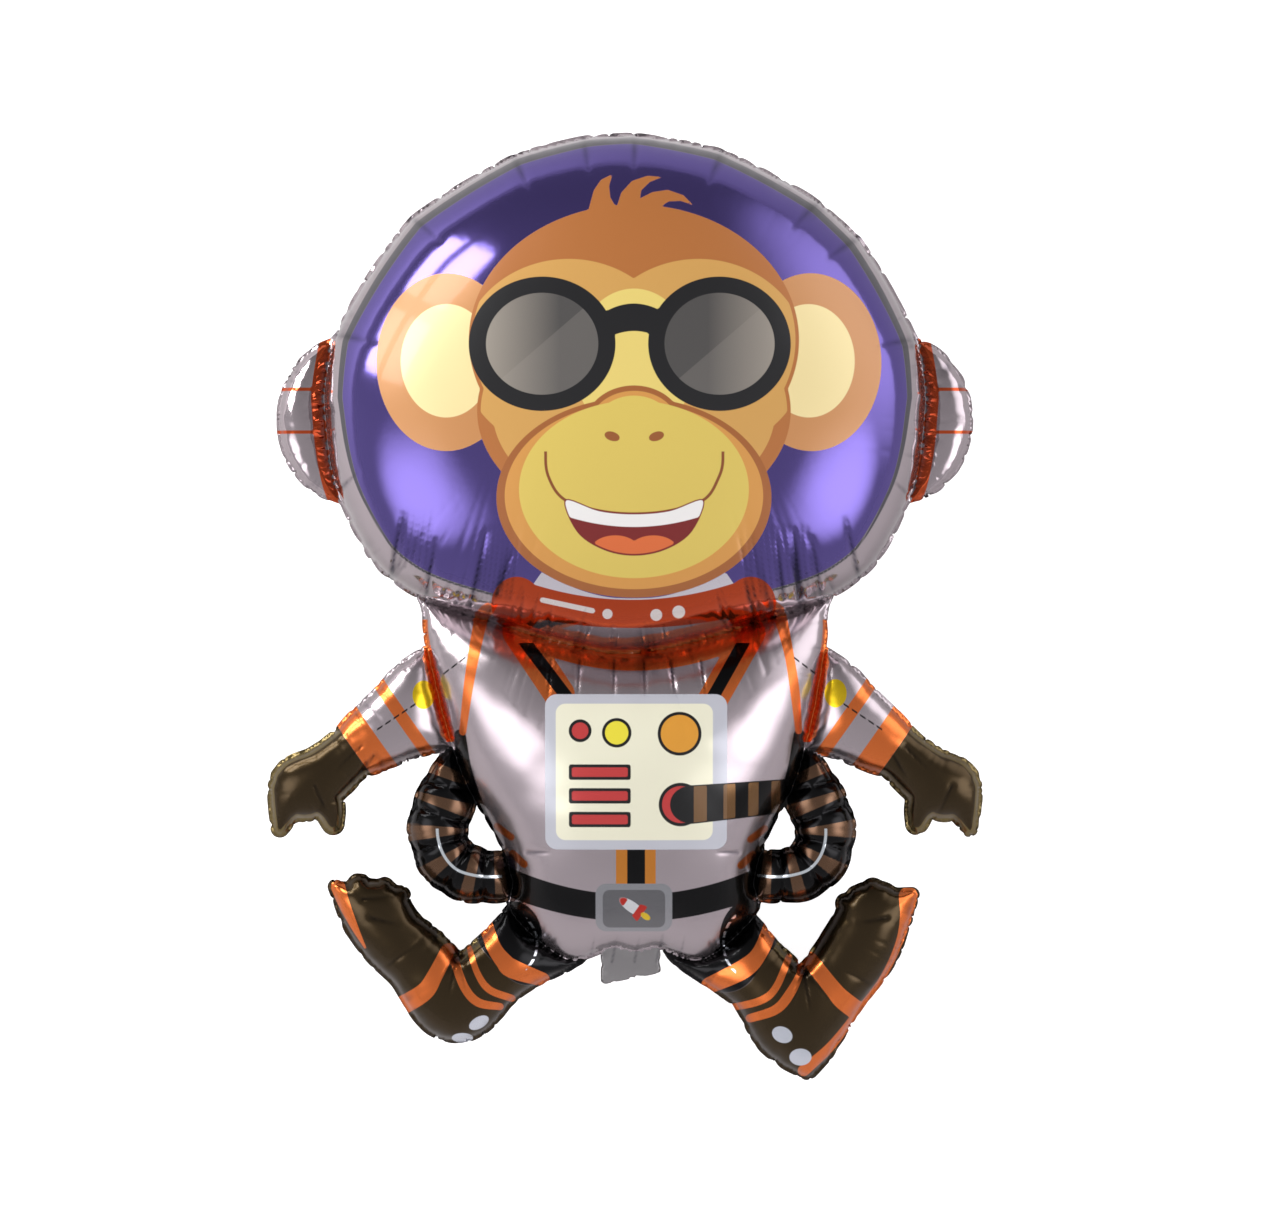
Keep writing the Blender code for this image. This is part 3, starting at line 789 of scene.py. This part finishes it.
def bodyPrint(points, pockets, depth, owner):
    x, y = points.T
    torso = pockets[0][1](points)
    names = np.array([name for name, _, _ in pockets])[owner]
    onTorso, onTail = names == "torso", names == "tail"
    onArm, onHose, onLeg = (np.isin(names, [limb + "Left", limb + "Right"])
                            for limb in ("arm", "hose", "leg"))
    inks = {}

    def strokes(*lines):
        return np.min([limbField(line)(points) for line in lines], axis=0)

    def lines(*ends):
        return np.min([straightLine(points, *end) for end in ends], axis=0)

    # Sleeves end in a cuff and a glove. The arms lie along 0.82 x - 0.57 y.
    alongArm = 0.82 * np.abs(x) - 0.57 * y
    glove = only(onArm, 255.5 - alongArm)
    cuffs = only(onArm, union(np.abs(alongArm - 244.3) - 11.2, np.abs(alongArm - 206.2) - 5.2))
    piping = only((y < -8) & (y > -113) & (np.abs(x) > 120), np.abs(torso - 1.5) - 3.2)
    neckArc = overlap(-(y + 52.4 - 0.0024 * (x - 8) ** 2), np.abs(x - 8) - 101)
    sideStripes = strokes(
        [(-119, 2, 6), (-126.5, -36, 5), (-132, -69, 4), (-136.5, -104, 3)],
        [(129, 2, 6), (138, -38, 4), (143, -69, 4), (146.5, -103, 3)],
    )
    straps = lines((-90, -20, -55, -72, 13), (106, -20, 72, -80, 12.5))
    orange = union(cuffs, piping, neckArc, sideStripes, straps)
    # Soles first, then the bands round each boot
    boots = strokes(
        [(-243, -236, 6), (-238, -250, 5), (-229, -270, 3), (-220, -288, 0.8)],
        [(240, -244, 8), (238, -262, 5), (232, -285, 3), (218, -315, 2.6), (196, -345, 3), (175, -372, 4),
         (152, -393, 5)],
        [(-119, -266, 6), (-111, -287, 6), (-102.5, -299, 7), (-95, -305.5, 8), (-70, -315, 6)],
        [(-132, -288, 2.2), (-125, -309, 2.6), (-115, -323, 3), (-96, -331, 3)],
        [(-146, -290, 4), (-144.5, -298, 3.6), (-136, -321, 3.6), (-124.5, -334, 3.6), (-106, -338, 3)],
        [(-150, -290, 6), (-161, -311, 6.5), (-170, -325, 7.5), (-190, -338, 8)],
        [(125, -268, 6.5), (114, -292, 6.5), (100.5, -305.5, 8), (72, -320, 7)],
        [(139, -296, 2.8), (128, -321, 3), (116, -332, 3.2), (92, -339, 3)],
        [(150, -300, 4), (149, -308, 2.8), (140, -326, 4), (128, -340, 4), (106, -348, 3.5)],
        [(157, -298, 6.5), (176, -322, 7), (186, -333, 8), (206, -348, 8)],
    )
    bootOrange = only(onLeg, boots)
    inks["orange"] = union(only(onArm | onTorso, orange), bootOrange)
    inks["orangeBack"] = union(cuffs, bootOrange)
    blackThigh = np.where(x > 0, strokes([(100, -272, 30), (84, -296, 30)]),
                          strokes([(-96, -272, 30), (-80, -292, 28)]))
    brownLeg = only(onLeg & (np.abs(x - 6) >= 68), -blackThigh)
    inks["brown"] = union(glove, brownLeg)
    # Painted highlight: a khaki line within 3.6 mm of the gloves' outline and within 5 mm of the boot tops'
    # outline
    edge = only(onArm & (glove < 0), depth - 3.6)
    bootTop = onLeg & (brownLeg < 0) & (x > -160) & (x < 162) & (y > -300)
    inks["edge"] = np.where(bootTop, depth - 5, edge)

    # Rings of the hoses, and a white arc printed along the middle of each, as the side of a closed shape
    pitch = bodyFoil["hosePitch"]
    run = np.zeros(len(points))
    arcs = []
    for turn, name, low, high in (
        (mirrored, "hoseLeft", (-190, -245), (-90, -120)),
        (list, "hoseRight", (90, -245), (200, -120)),
    ):
        stations = leaning(turn(bodyFoil["hose"]))
        mine = names == name
        run[mine] = limbRun(stations, points[mine])
        middle = smoothCurve(stations, 8)[:, :2]
        inward = middle[::-1] * 0.5 + np.array([0.0, -95.0])
        arcs.append(nearOnly(points, low, high, np.vstack([middle, inward])))
    inks["rings"] = only(onHose, np.abs((run % pitch) - 0.55 * pitch) - 4.6)
    inks["hoseArc"] = np.where(x < 0, *arcs)
    inks["arcClip"] = only(onHose, overlap(y + 186, 108 - np.abs(x - 4)))
    tabs = lines((-108, -184, -96, -193, 3.0), (-95, -207, -85, -216, 3.2),
                 (118, -186, 106, -195, 3.0), (108, -208, 98, -217, 3.2))
    inks["tabs"] = only(onTorso, tabs)

    # Black down the torso's sides under the hoses, from the side straps to the belt: partly print of the hose
    # fittings, partly painted shadow cast by the hoses
    flanks = strokes(
        [(-139, -107, 5), (-134, -140, 6), (-121, -180, 7), (-108, -215, 9)],
        [(147, -107, 5), (142, -140, 6), (130, -180, 7), (114, -215, 9)],
    )
    beltTop = -241.5 + 0.00205 * (x - 7.7) ** 2
    beltLow = -264.5 + 0.00182 * (x - 7.7) ** 2
    belt = only(onTorso, overlap(y - beltTop, beltLow - y))
    hips = union(ovals(points, (-94, -279, 24, 31), (104, -280, 24, 33)), only(onLeg, -brownLeg))
    inks["black"] = union(only(onHose, -8.0), flanks, belt, hips)
    braces = lines((-88, -23, -49, -74, 5.2), (103, -23, 72, -78, 5.2))
    inks["blackOver"] = overlap(braces, y + 29)
    inks["stripe"] = roundBox(points, -7.5, 26, -260, -190, 1)
    inks["stripeBlack"] = roundBox(points, 2, 17, -260, -190, 1)

    # The chest panel: three dots, three bars, and a hose that leaves it to the right
    inks["panelFrame"] = roundBox(points, -67, 86, -203, -72, 10)
    inks["panel"] = roundBox(points, -58, 74, -195, -80, 8)
    dotRed = np.hypot(x + 37.5, y + 102.7)
    dotYellow = np.hypot(x + 6.8, y + 104.4)
    dotOrange = np.hypot(x - 46, y + 105.2)
    dotHose = np.hypot(x - 46.9, y + 164.9)
    barTops = (-131, -151, -171)
    bars = [roundBox(points, -47, 5, top - 13, top, 1.5) for top in barTops]
    redBars = [roundBox(points, -44.5, 2.5, top - 10.5, top - 2.5, 1) for top in barTops]
    hosePrint = overlap(y + 152 - 0.06 * x, -(y + 187.5 - 0.11 * x), 55 - x, x - 137)
    rims = [dotRed - 9.6, dotYellow - 12.4, dotOrange - 18.4, dotHose - 18.4]
    inks["outlines"] = union(*rims, *bars, hosePrint)
    crescent = overlap(dotHose - 15.6, -(np.hypot(x - 53, y + 164.9) - 15))
    inks["red"] = union(dotRed - 7, crescent, *redBars)
    inks["dotYellow"] = dotYellow - 9.8
    inks["dotOrange"] = dotOrange - 15.8
    rings = [np.abs(x - middle) - half for middle, half in ((63.5, 5.5), (88, 5), (108.3, 4.3), (127.3, 3.8))]
    inks["printedRings"] = overlap(union(*rings), hosePrint + 1)

    # The buckle, and a rocket that points up to the left on it: u runs towards its tail, v across it
    inks["buckle"] = roundBox(points, -24.7, 40, -273, -232, 9)
    inks["buckleInside"] = roundBox(points, -18.7, 34, -269.7, -237.3, 6)
    c, s = math.cos(math.radians(-35)), math.sin(math.radians(-35))
    u = c * (x - 6) + s * (y + 252)
    v = -s * (x - 6) + c * (y + 252)
    rocket = np.hypot(u / 12.5, v / 4.6) * 4.6 - 4.6
    fins = overlap(np.abs(u - 7.5) - 3.2, np.abs(v) - 7.2 + 0.3 * (8 - u))
    inks["rocket"] = rocket
    inks["rocketRed"] = union(overlap(rocket, u + 6.5), fins)
    inks["rocketFlame"] = np.hypot((u - 14) / 4.6, v / 2.6) * 2.6 - 2.6

    inks["buttons"] = ovals(points, (-169.5, -72.8, 9.4, 12), (177.5, -71.5, 9.4, 12))
    inks["bootDots"] = ovals(points, (-124, -351.7, 9.2, 5.0, 30), (-138.2, -365, 9, 4.4),
                             (133.5, -361.7, 9, 6.8, -25), (149.1, -381.1, 9.4, 7.4))
    # Dashed lines are a line and a clip with gaps in it
    inks["hipArc"] = ovals(points, (-96, -284, 21.5, 26), (105, -284, 21.5, 28))
    hipClip = np.where(x < 0, overlap(-84 - x, x + 66), overlap(x - 94, 76 - x))
    inks["hipClip"] = overlap(hipClip, np.abs((y % 8) - 4) - 2.6)
    along = np.where(x < 0, -x, x - 8)
    stitch = only(onArm, y + 104.4 - 0.67 * (212.1 - along))
    inks["stitch"] = np.where(onTorso & (np.abs(x) > 128), y + 55 - 0.75 * (152.5 - along), stitch)
    stitchClip = np.where(onArm, np.abs(along - 194) - 18, np.abs(along - 143) - 11)
    inks["stitchClip"] = overlap(stitchClip, np.abs((along % 7) - 3.5) - 2.3)
    inks["tail"] = only(onTail, overlap(1 - torso, -torso))
    return inks, ("black", "brown", "rings", "edge", "orangeBack", "tail")


# Materials

film = {
    "bare": "#b9aeb2",  # aluminium under a clear ink
    "metallic": 0.92,
    "coatRoughness": 0.06,
    "inkEdge": 0.3,  # mm to either side over which an ink fades
    "crackleCell": 0.018,  # metres
    "crackleRelief": 0.0006,
    # Colour of the painted shade in deep folds, and how it grows with the fold shade
    "foldTint": "#4a4660",
    "foldLimits": (0.12, 0.8),  # fold shade at which the tint starts, and at which it is full
    "foldTintMost": 0.95,
    "shadePerMillimetre": 0.30,  # fold shade per mm of the fold's depth
}


def linear(hexColour):
    values = np.array([int(hexColour[k : k + 2], 16) for k in (1, 3, 5)]) / 255
    straight = np.where(values <= 0.04045, values / 12.92, ((values + 0.055) / 1.055) ** 2.4)
    return (*straight, 1.0)


def addNode(tree, kind, settings, links, output=0):
    node = tree.nodes.new("ShaderNode" + kind)
    for key, value in settings.items():
        setattr(node, key, value)
    for key, value in links.items():
        if isinstance(value, bpy.types.NodeSocket):
            tree.links.new(value, node.inputs[key])
        else:
            node.inputs[key].default_value = value
    return node.outputs[output]


# 1 where the attribute is below the limit, with an edge as soft as printed ink's
def inkMask(tree, layer, limit=0.0, line=False):
    value = addNode(tree, "Attribute", {"attribute_name": layer}, {}, "Fac")
    if line:
        value = addNode(tree, "Math", {"operation": "ABSOLUTE"}, {0: value})
    ends = {0: value, 1: limit + film["inkEdge"], 2: limit - film["inkEdge"], 3: 0.0, 4: 1.0}
    return addNode(tree, "MapRange", {}, ends)


def newMaterial(name, roughness, coat):
    material = bpy.data.materials.new(name)
    material.use_nodes = True
    tree = material.node_tree
    shader = tree.nodes["Principled BSDF"]
    shader.inputs["Roughness"].default_value = roughness
    shader.inputs["Coat Weight"].default_value = coat
    shader.inputs["Coat Roughness"].default_value = film["coatRoughness"]
    return material, tree, shader


# Fine crackle that handling leaves in thin film: cells about 18 mm across, barely raised
def crackle(tree, shader, strength):
    place = addNode(tree, "TexCoord", {}, {}, "Object")
    noise = addNode(tree, "TexNoise", {}, {"Vector": place, "Scale": 1 / film["crackleCell"], "Detail": 2.0})
    settings = {"Strength": strength, "Distance": film["crackleRelief"], "Height": noise}
    tree.links.new(addNode(tree, "Bump", {}, settings), shader.inputs["Normal"])


# Painted shade: deep folds see little but themselves and look darker than the film beside them, so the film's
# colour is multiplied by a dark tint there
def shadedFolds(tree, colour):
    fold = addNode(tree, "Attribute", {"attribute_name": "foldShade"}, {}, "Fac")
    start, full = film["foldLimits"]
    ends = {0: fold, 1: start, 2: full, 3: 0.0, 4: film["foldTintMost"]}
    amount = addNode(tree, "MapRange", {}, ends)
    settings = {"data_type": "RGBA", "blend_type": "MULTIPLY"}
    return addNode(tree, "Mix", settings, {0: amount, 6: colour, 7: linear(film["foldTint"])}, 2)


# Lays each ink over the ones before it, on bare film. A mask that isn't one layer alone is handed in.
def printInks(tree, shader, look, masks):
    colour = linear(film["bare"])
    for layer, ink in look["inks"].items():
        mask = masks[layer] if layer in masks else inkMask(tree, layer)
        colour = addNode(tree, "Mix", {"data_type": "RGBA"}, {0: mask, 6: colour, 7: linear(ink)}, 2)
    tree.links.new(shadedFolds(tree, colour), shader.inputs["Base Color"])
    crackle(tree, shader, look["crackle"])


# One value on bare film and another where the mask lies
def changed(tree, mask, bare, solid, socket):
    tree.links.new(addNode(tree, "MapRange", {}, {0: mask, 3: bare, 4: solid}), socket)


# Metallised PET film printed in translucent inks: a mirror of evaporated aluminium under each
# colour, so highlights take the ink's own hue. The face is underlaid with white and looks solid.
def printedHeadFoil():
    look = headFoil
    material, tree, shader = newMaterial("printed metallised film, head", look["roughness"], look["coat"])
    times = {"operation": "MULTIPLY"}
    lens = inkMask(tree, "lenses")
    # Painted sheen: the glasses pale towards the sides of the face, 62 to 128 mm from its middle, where the
    # bare foil's reflection is painted into their colour
    glow = addNode(tree, "Attribute", {"attribute_name": "lensGlow"}, {}, "Fac")
    outward = addNode(tree, "MapRange", {}, {0: glow, 1: 62.0, 2: 128.0, 3: 0.0, 4: 0.75})
    smile = {0: inkMask(tree, "smileLine", 1.2, line=True), 1: inkMask(tree, "smileTop")}
    masks = {
        "lenses": lens,
        "lensHalf": addNode(tree, "Math", times, {0: lens, 1: inkMask(tree, "split")}),
        "lensPaintedSheen": addNode(tree, "Math", times, {0: lens, 1: outward}),
        "smile": addNode(tree, "Math", times, smile),
    }
    printInks(tree, shader, look, masks)
    face = inkMask(tree, "face")
    changed(tree, face, film["metallic"], look["faceMetallic"], shader.inputs["Metallic"])
    changed(tree, face, look["roughness"], look["faceRoughness"], shader.inputs["Roughness"])
    return material


# The same film on the body, with the panel, belt and straps printed on it and a bare matt tail
def printedBodyFoil():
    look = bodyFoil
    material, tree, shader = newMaterial("printed metallised film, body", look["roughness"], look["coat"])
    masks = {}
    clips = (("hipArc", "hipClip", 1.0), ("hoseArc", "arcClip", 1.2), ("stitch", "stitchClip", 0.8))
    for layer, clip, half in clips:
        pair = {0: inkMask(tree, layer, half, line=True), 1: inkMask(tree, clip)}
        masks[layer] = addNode(tree, "Math", {"operation": "MULTIPLY"}, pair)
    printInks(tree, shader, look, masks)
    pair = {0: inkMask(tree, "panelFrame"), 1: inkMask(tree, "tail")}
    solid = addNode(tree, "Math", {"operation": "MAXIMUM"}, pair)
    changed(tree, solid, film["metallic"], look["solidMetallic"], shader.inputs["Metallic"])
    return material


# Pieces. A crease is its start, its end, its width and its depth.

# A row of creases side by side, leaning alike
def fan(x0, x1, y0, y1, count, lean, width, depth):
    starts = x0 + (x1 - x0) * np.linspace(0, 1, count)
    return [(x, y0, x + lean * (y1 - y0), y1, width, depth) for x in starts]


def makeHead():
    creases = [
        (-197, 26, -186, 82, 1.8, 3.4), (-168, 6, -158, 60, 1.8, 3.2), (-130, 0, -116, 66, 1.8, 3.2),
        (-107, 12, -94, 50, 1.6, 2.6), (-240, 100, -222, 116, 1.8, 2.2), (-78, -12, -71, 18, 1.4, 1.8),
        (197, 26, 184, 78, 1.8, 3.0), (166, 6, 156, 62, 1.8, 3.2), (147, 2, 141, 68, 1.8, 4.0),
        (133, 8, 127, 60, 1.4, 2.8), (110, -12, 99, 28, 1.6, 3.4), (84, -14, 76, 18, 1.4, 2.6),
        (238, 96, 222, 110, 1.8, 2.0), (-88, -12, -84, 20, 1.4, 2.2), (-64, -22, -61, 6, 1.4, 2.2),
    ]
    creases += fan(-190, -168, 34, 84, 5, 0.16, 1.2, 1.1)
    creases += fan(-124, -96, 8, 70, 8, 0.14, 1.1, 1.2)
    creases += fan(104, 160, 10, 70, 12, -0.14, 1.1, 1.2)
    centre = np.array(headFoil["helmetCentre"])
    radii = np.array([headFoil["helmetHalfWidth"], headFoil["helmetTopRise"]])
    for angle in np.radians(headFoil["facetAngles"][1:-1]):
        tip = centre + radii * (math.cos(angle), math.sin(angle))
        end = tip + 0.16 * (centre - tip)
        creases.append((*tip, *end, 3.0, 2.0))

    # Puckers are longest at the collar
    def longer(foot):
        return 0.6 + 1.6 * np.clip((70 - foot[:, 1]) / 80, 0, 1)

    piece = foilPillow("headFoil", headPockets(), headMiddle, headFoil, longer, creases, headPrint)
    piece.data.materials.append(printedHeadFoil())
    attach(piece, "root")
    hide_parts("head_balloon")


def makeBody():
    creases = [
        # Knees
        (-142, -291, -150, -330, 2.0, 2.2), (-142, -291, -160, -322, 2.0, 1.6),
        (-142, -291, -134, -330, 2.0, 1.6), (151, -305, 158, -345, 2.0, 2.4),
        (151, -305, 172, -330, 2.0, 1.6), (151, -305, 140, -342, 2.0, 1.6),
        (-200, -302, -170, -280, 2.0, 1.4), (207, -318, 180, -304, 2.0, 1.4),
        # Waist
        (-82, -206, -62, -205, 1.4, 2.4), (95, -206, 76, -205, 1.4, 2.4),
        # Gloves and boots, where the film bends
        (-212, -124, -228, -146, 1.6, 2.4), (-222, -116, -246, -138, 1.6, 2.0),
        (-262, -150, -250, -176, 1.6, 2.2), (226, -124, 240, -146, 1.6, 2.4),
        (236, -116, 258, -138, 1.6, 2.0), (276, -150, 264, -176, 1.6, 2.2),
        (-215, -262, -190, -268, 1.8, 2.4), (-222, -246, -196, -244, 1.8, 2.2),
        (222, -262, 196, -266, 1.8, 2.4),
    ]
    creases += [(x, -44, x + 0.06 * x, -76, 1.3, 2.4) for x in (-62, -38, -9, 16, 39, 64)]
    creases += fan(-30, 46, -300, -272, 5, 0.2, 1.3, 1.8)
    # The hoses are pinched on both sides at every pitch
    for turn in (mirrored, list):
        middle = smoothCurve(leaning(turn(bodyFoil["hose"])), 8)
        run = runOf(middle)
        for along in np.arange(bodyFoil["hosePitch"], run[-1], bodyFoil["hosePitch"]):
            cx, cy, half = (np.interp(along, run, middle[:, k]) for k in range(3))
            tx, ty = (np.interp(along + 2, run, middle[:, k]) - (cx, cy)[k] for k in range(2))
            nx, ny = -ty / math.hypot(tx, ty), tx / math.hypot(tx, ty)
            for side in (-1, 1):
                creases.append((cx + side * half * nx, cy + side * half * ny, cx, cy, 2.3, 7.0))

    # Puckers are longest at the neck
    def longer(foot):
        neck = np.clip(1 - np.abs(foot[:, 1] + 20) / 40, 0, 1) * (np.abs(foot[:, 0]) < 150)
        return 0.8 + 2.6 * neck

    piece = foilPillow("bodyFoil", bodyPockets(), bodyMiddle, bodyFoil, longer, creases, bodyPrint)
    piece.data.materials.append(printedBodyFoil())
    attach(piece, "root")
    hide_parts("body_balloon")


# Stage, lights and camera

stage = {
    "imageWidth": 1278,
    "imageHeight": 1232,
    "pixel": 0.852,  # mm of the figure's plan that one pixel of the photograph spans
    "middlePixel": (625.0, 608.5),  # the figure's middle in the photograph
    "cameraHeight": 13.0,
    "floorSize": 30.0,
    "floorColour": "#d6d4d4",
    "floorWhite": 0.9,  # added where the floor itself is seen, as the photograph is cut out on white
    "wallLight": 0.66,
    "ceilingLight": 0.50,
    "wallColour": "#f4f2f6",
    "farWallLight": 0.40,  # the wall beyond the head is this share as bright as the near one
    # Soft lights on the studio's walls: direction, half angle in degrees, brightness
    "glows": (((-0.70, -0.42, 0.55), 24, 3.0), ((0.76, -0.38, 0.50), 25, 3.3), ((0.88, 0.42, 0.20), 44, 2.0)),
    # A window of four panes, to the left of the head and a little beyond it, turned to the balloon
    "windowCentre": (-2.12, 1.43, 1.25),
    "windowPane": (0.86, 0.64),
    "windowBar": 0.20,
    "windowPower": 15.5,
}


def makeStage():
    size = stage["floorSize"]
    mesh = bpy.data.meshes.new("floor")
    corners = [(-size, -size, 0), (size, -size, 0), (size, size, 0), (-size, size, 0)]
    mesh.from_pydata(corners, [], [(0, 1, 2, 3)])
    floor = bpy.data.objects.new("floor", mesh)
    bpy.context.scene.collection.objects.link(floor)
    material, tree, shader = newMaterial("white painted board", 0.8, 0.0)
    shader.inputs["Base Color"].default_value = linear(stage["floorColour"])
    shader.inputs["Emission Color"].default_value = linear("#ffffff")
    seen = addNode(tree, "LightPath", {}, {}, "Is Camera Ray")
    white = addNode(tree, "Math", {"operation": "MULTIPLY"}, {0: seen, 1: stage["floorWhite"]})
    tree.links.new(white, shader.inputs["Emission Strength"])
    mesh.materials.append(material)


# The studio's walls are bright at the horizon and dimmer overhead and beyond the head
def makeStudio():
    world = bpy.data.worlds.new("studio")
    world.use_nodes = True
    tree = world.node_tree
    background = tree.nodes["Background"]
    background.inputs["Color"].default_value = linear(stage["wallColour"])
    direction = addNode(tree, "TexCoord", {}, {}, "Generated")
    up = addNode(tree, "SeparateXYZ", {}, {0: direction}, "Z")
    away = addNode(tree, "SeparateXYZ", {}, {0: direction}, "Y")
    lookUp = {0: up, 1: 0.0, 2: 1.0, 3: stage["wallLight"], 4: stage["ceilingLight"]}
    lookAway = {0: away, 1: -0.1, 2: 0.9, 3: 1.0, 4: stage["farWallLight"]}
    pair = {at: addNode(tree, "MapRange", {}, ends) for at, ends in enumerate((lookUp, lookAway))}
    level = addNode(tree, "Math", {"operation": "MULTIPLY"}, pair)
    for side, angle, bright in stage["glows"]:
        middle = tuple(np.array(side) / np.linalg.norm(side))
        match = addNode(tree, "VectorMath", {"operation": "DOT_PRODUCT"}, {0: direction, 1: middle}, "Value")
        ends = {0: match, 1: math.cos(math.radians(angle)), 2: 1.0, 3: 0.0, 4: bright}
        lobe = addNode(tree, "MapRange", {"interpolation_type": "SMOOTHSTEP"}, ends)
        level = addNode(tree, "Math", {"operation": "ADD"}, {0: level, 1: lobe})
    tree.links.new(level, background.inputs["Strength"])
    bpy.context.scene.world = world
    bpy.context.scene.view_settings.view_transform = "Standard"


# An area light whose face is turned towards a place
def windowPane(place, aim):
    light = bpy.data.lights.new("window pane", "AREA")
    light.shape = "RECTANGLE"
    light.size, light.size_y = stage["windowPane"]
    light.energy = stage["windowPower"]
    lamp = bpy.data.objects.new("window pane", light)
    bpy.context.scene.collection.objects.link(lamp)
    lamp.location = place
    x, y, z = np.array(aim) - np.array(place)
    lamp.rotation_euler = (math.atan2(math.hypot(x, y), -z), 0, math.atan2(y, x) - math.pi / 2)


def makeWindow():
    centre = np.array(stage["windowCentre"])
    width, height = stage["windowPane"]
    outward = centre / np.linalg.norm(centre)
    along = np.cross((0, 0, 1), outward)
    along /= np.linalg.norm(along)
    upward = np.cross(outward, along)
    for column in (-0.5, 0.5):
        for row in (-0.5, 0.5):
            place = centre + column * (width + stage["windowBar"]) * along
            place = place + row * (height + stage["windowBar"]) * upward
            windowPane(tuple(place), tuple(place - outward))


# Straight above, with a lens long enough that the picture's width spans the plan's
def makeCamera():
    camera = bpy.data.cameras.new("camera")
    wide = stage["imageWidth"] * stage["pixel"] * metre
    camera.lens = camera.sensor_width * stage["cameraHeight"] / wide
    camera.clip_end = 60.0
    eye = bpy.data.objects.new("camera", camera)
    bpy.context.scene.collection.objects.link(eye)
    px, py = stage["middlePixel"]
    eye.location = (
        (stage["imageWidth"] / 2 - px) * stage["pixel"] * metre,
        (py - stage["imageHeight"] / 2) * stage["pixel"] * metre,
        stage["cameraHeight"],
    )
    bpy.context.scene.camera = eye


makeCamera()
makeStage()
makeStudio()
makeWindow()
print("stage ready")
makeHead()
makeBody()
bpy.context.view_layer.update()
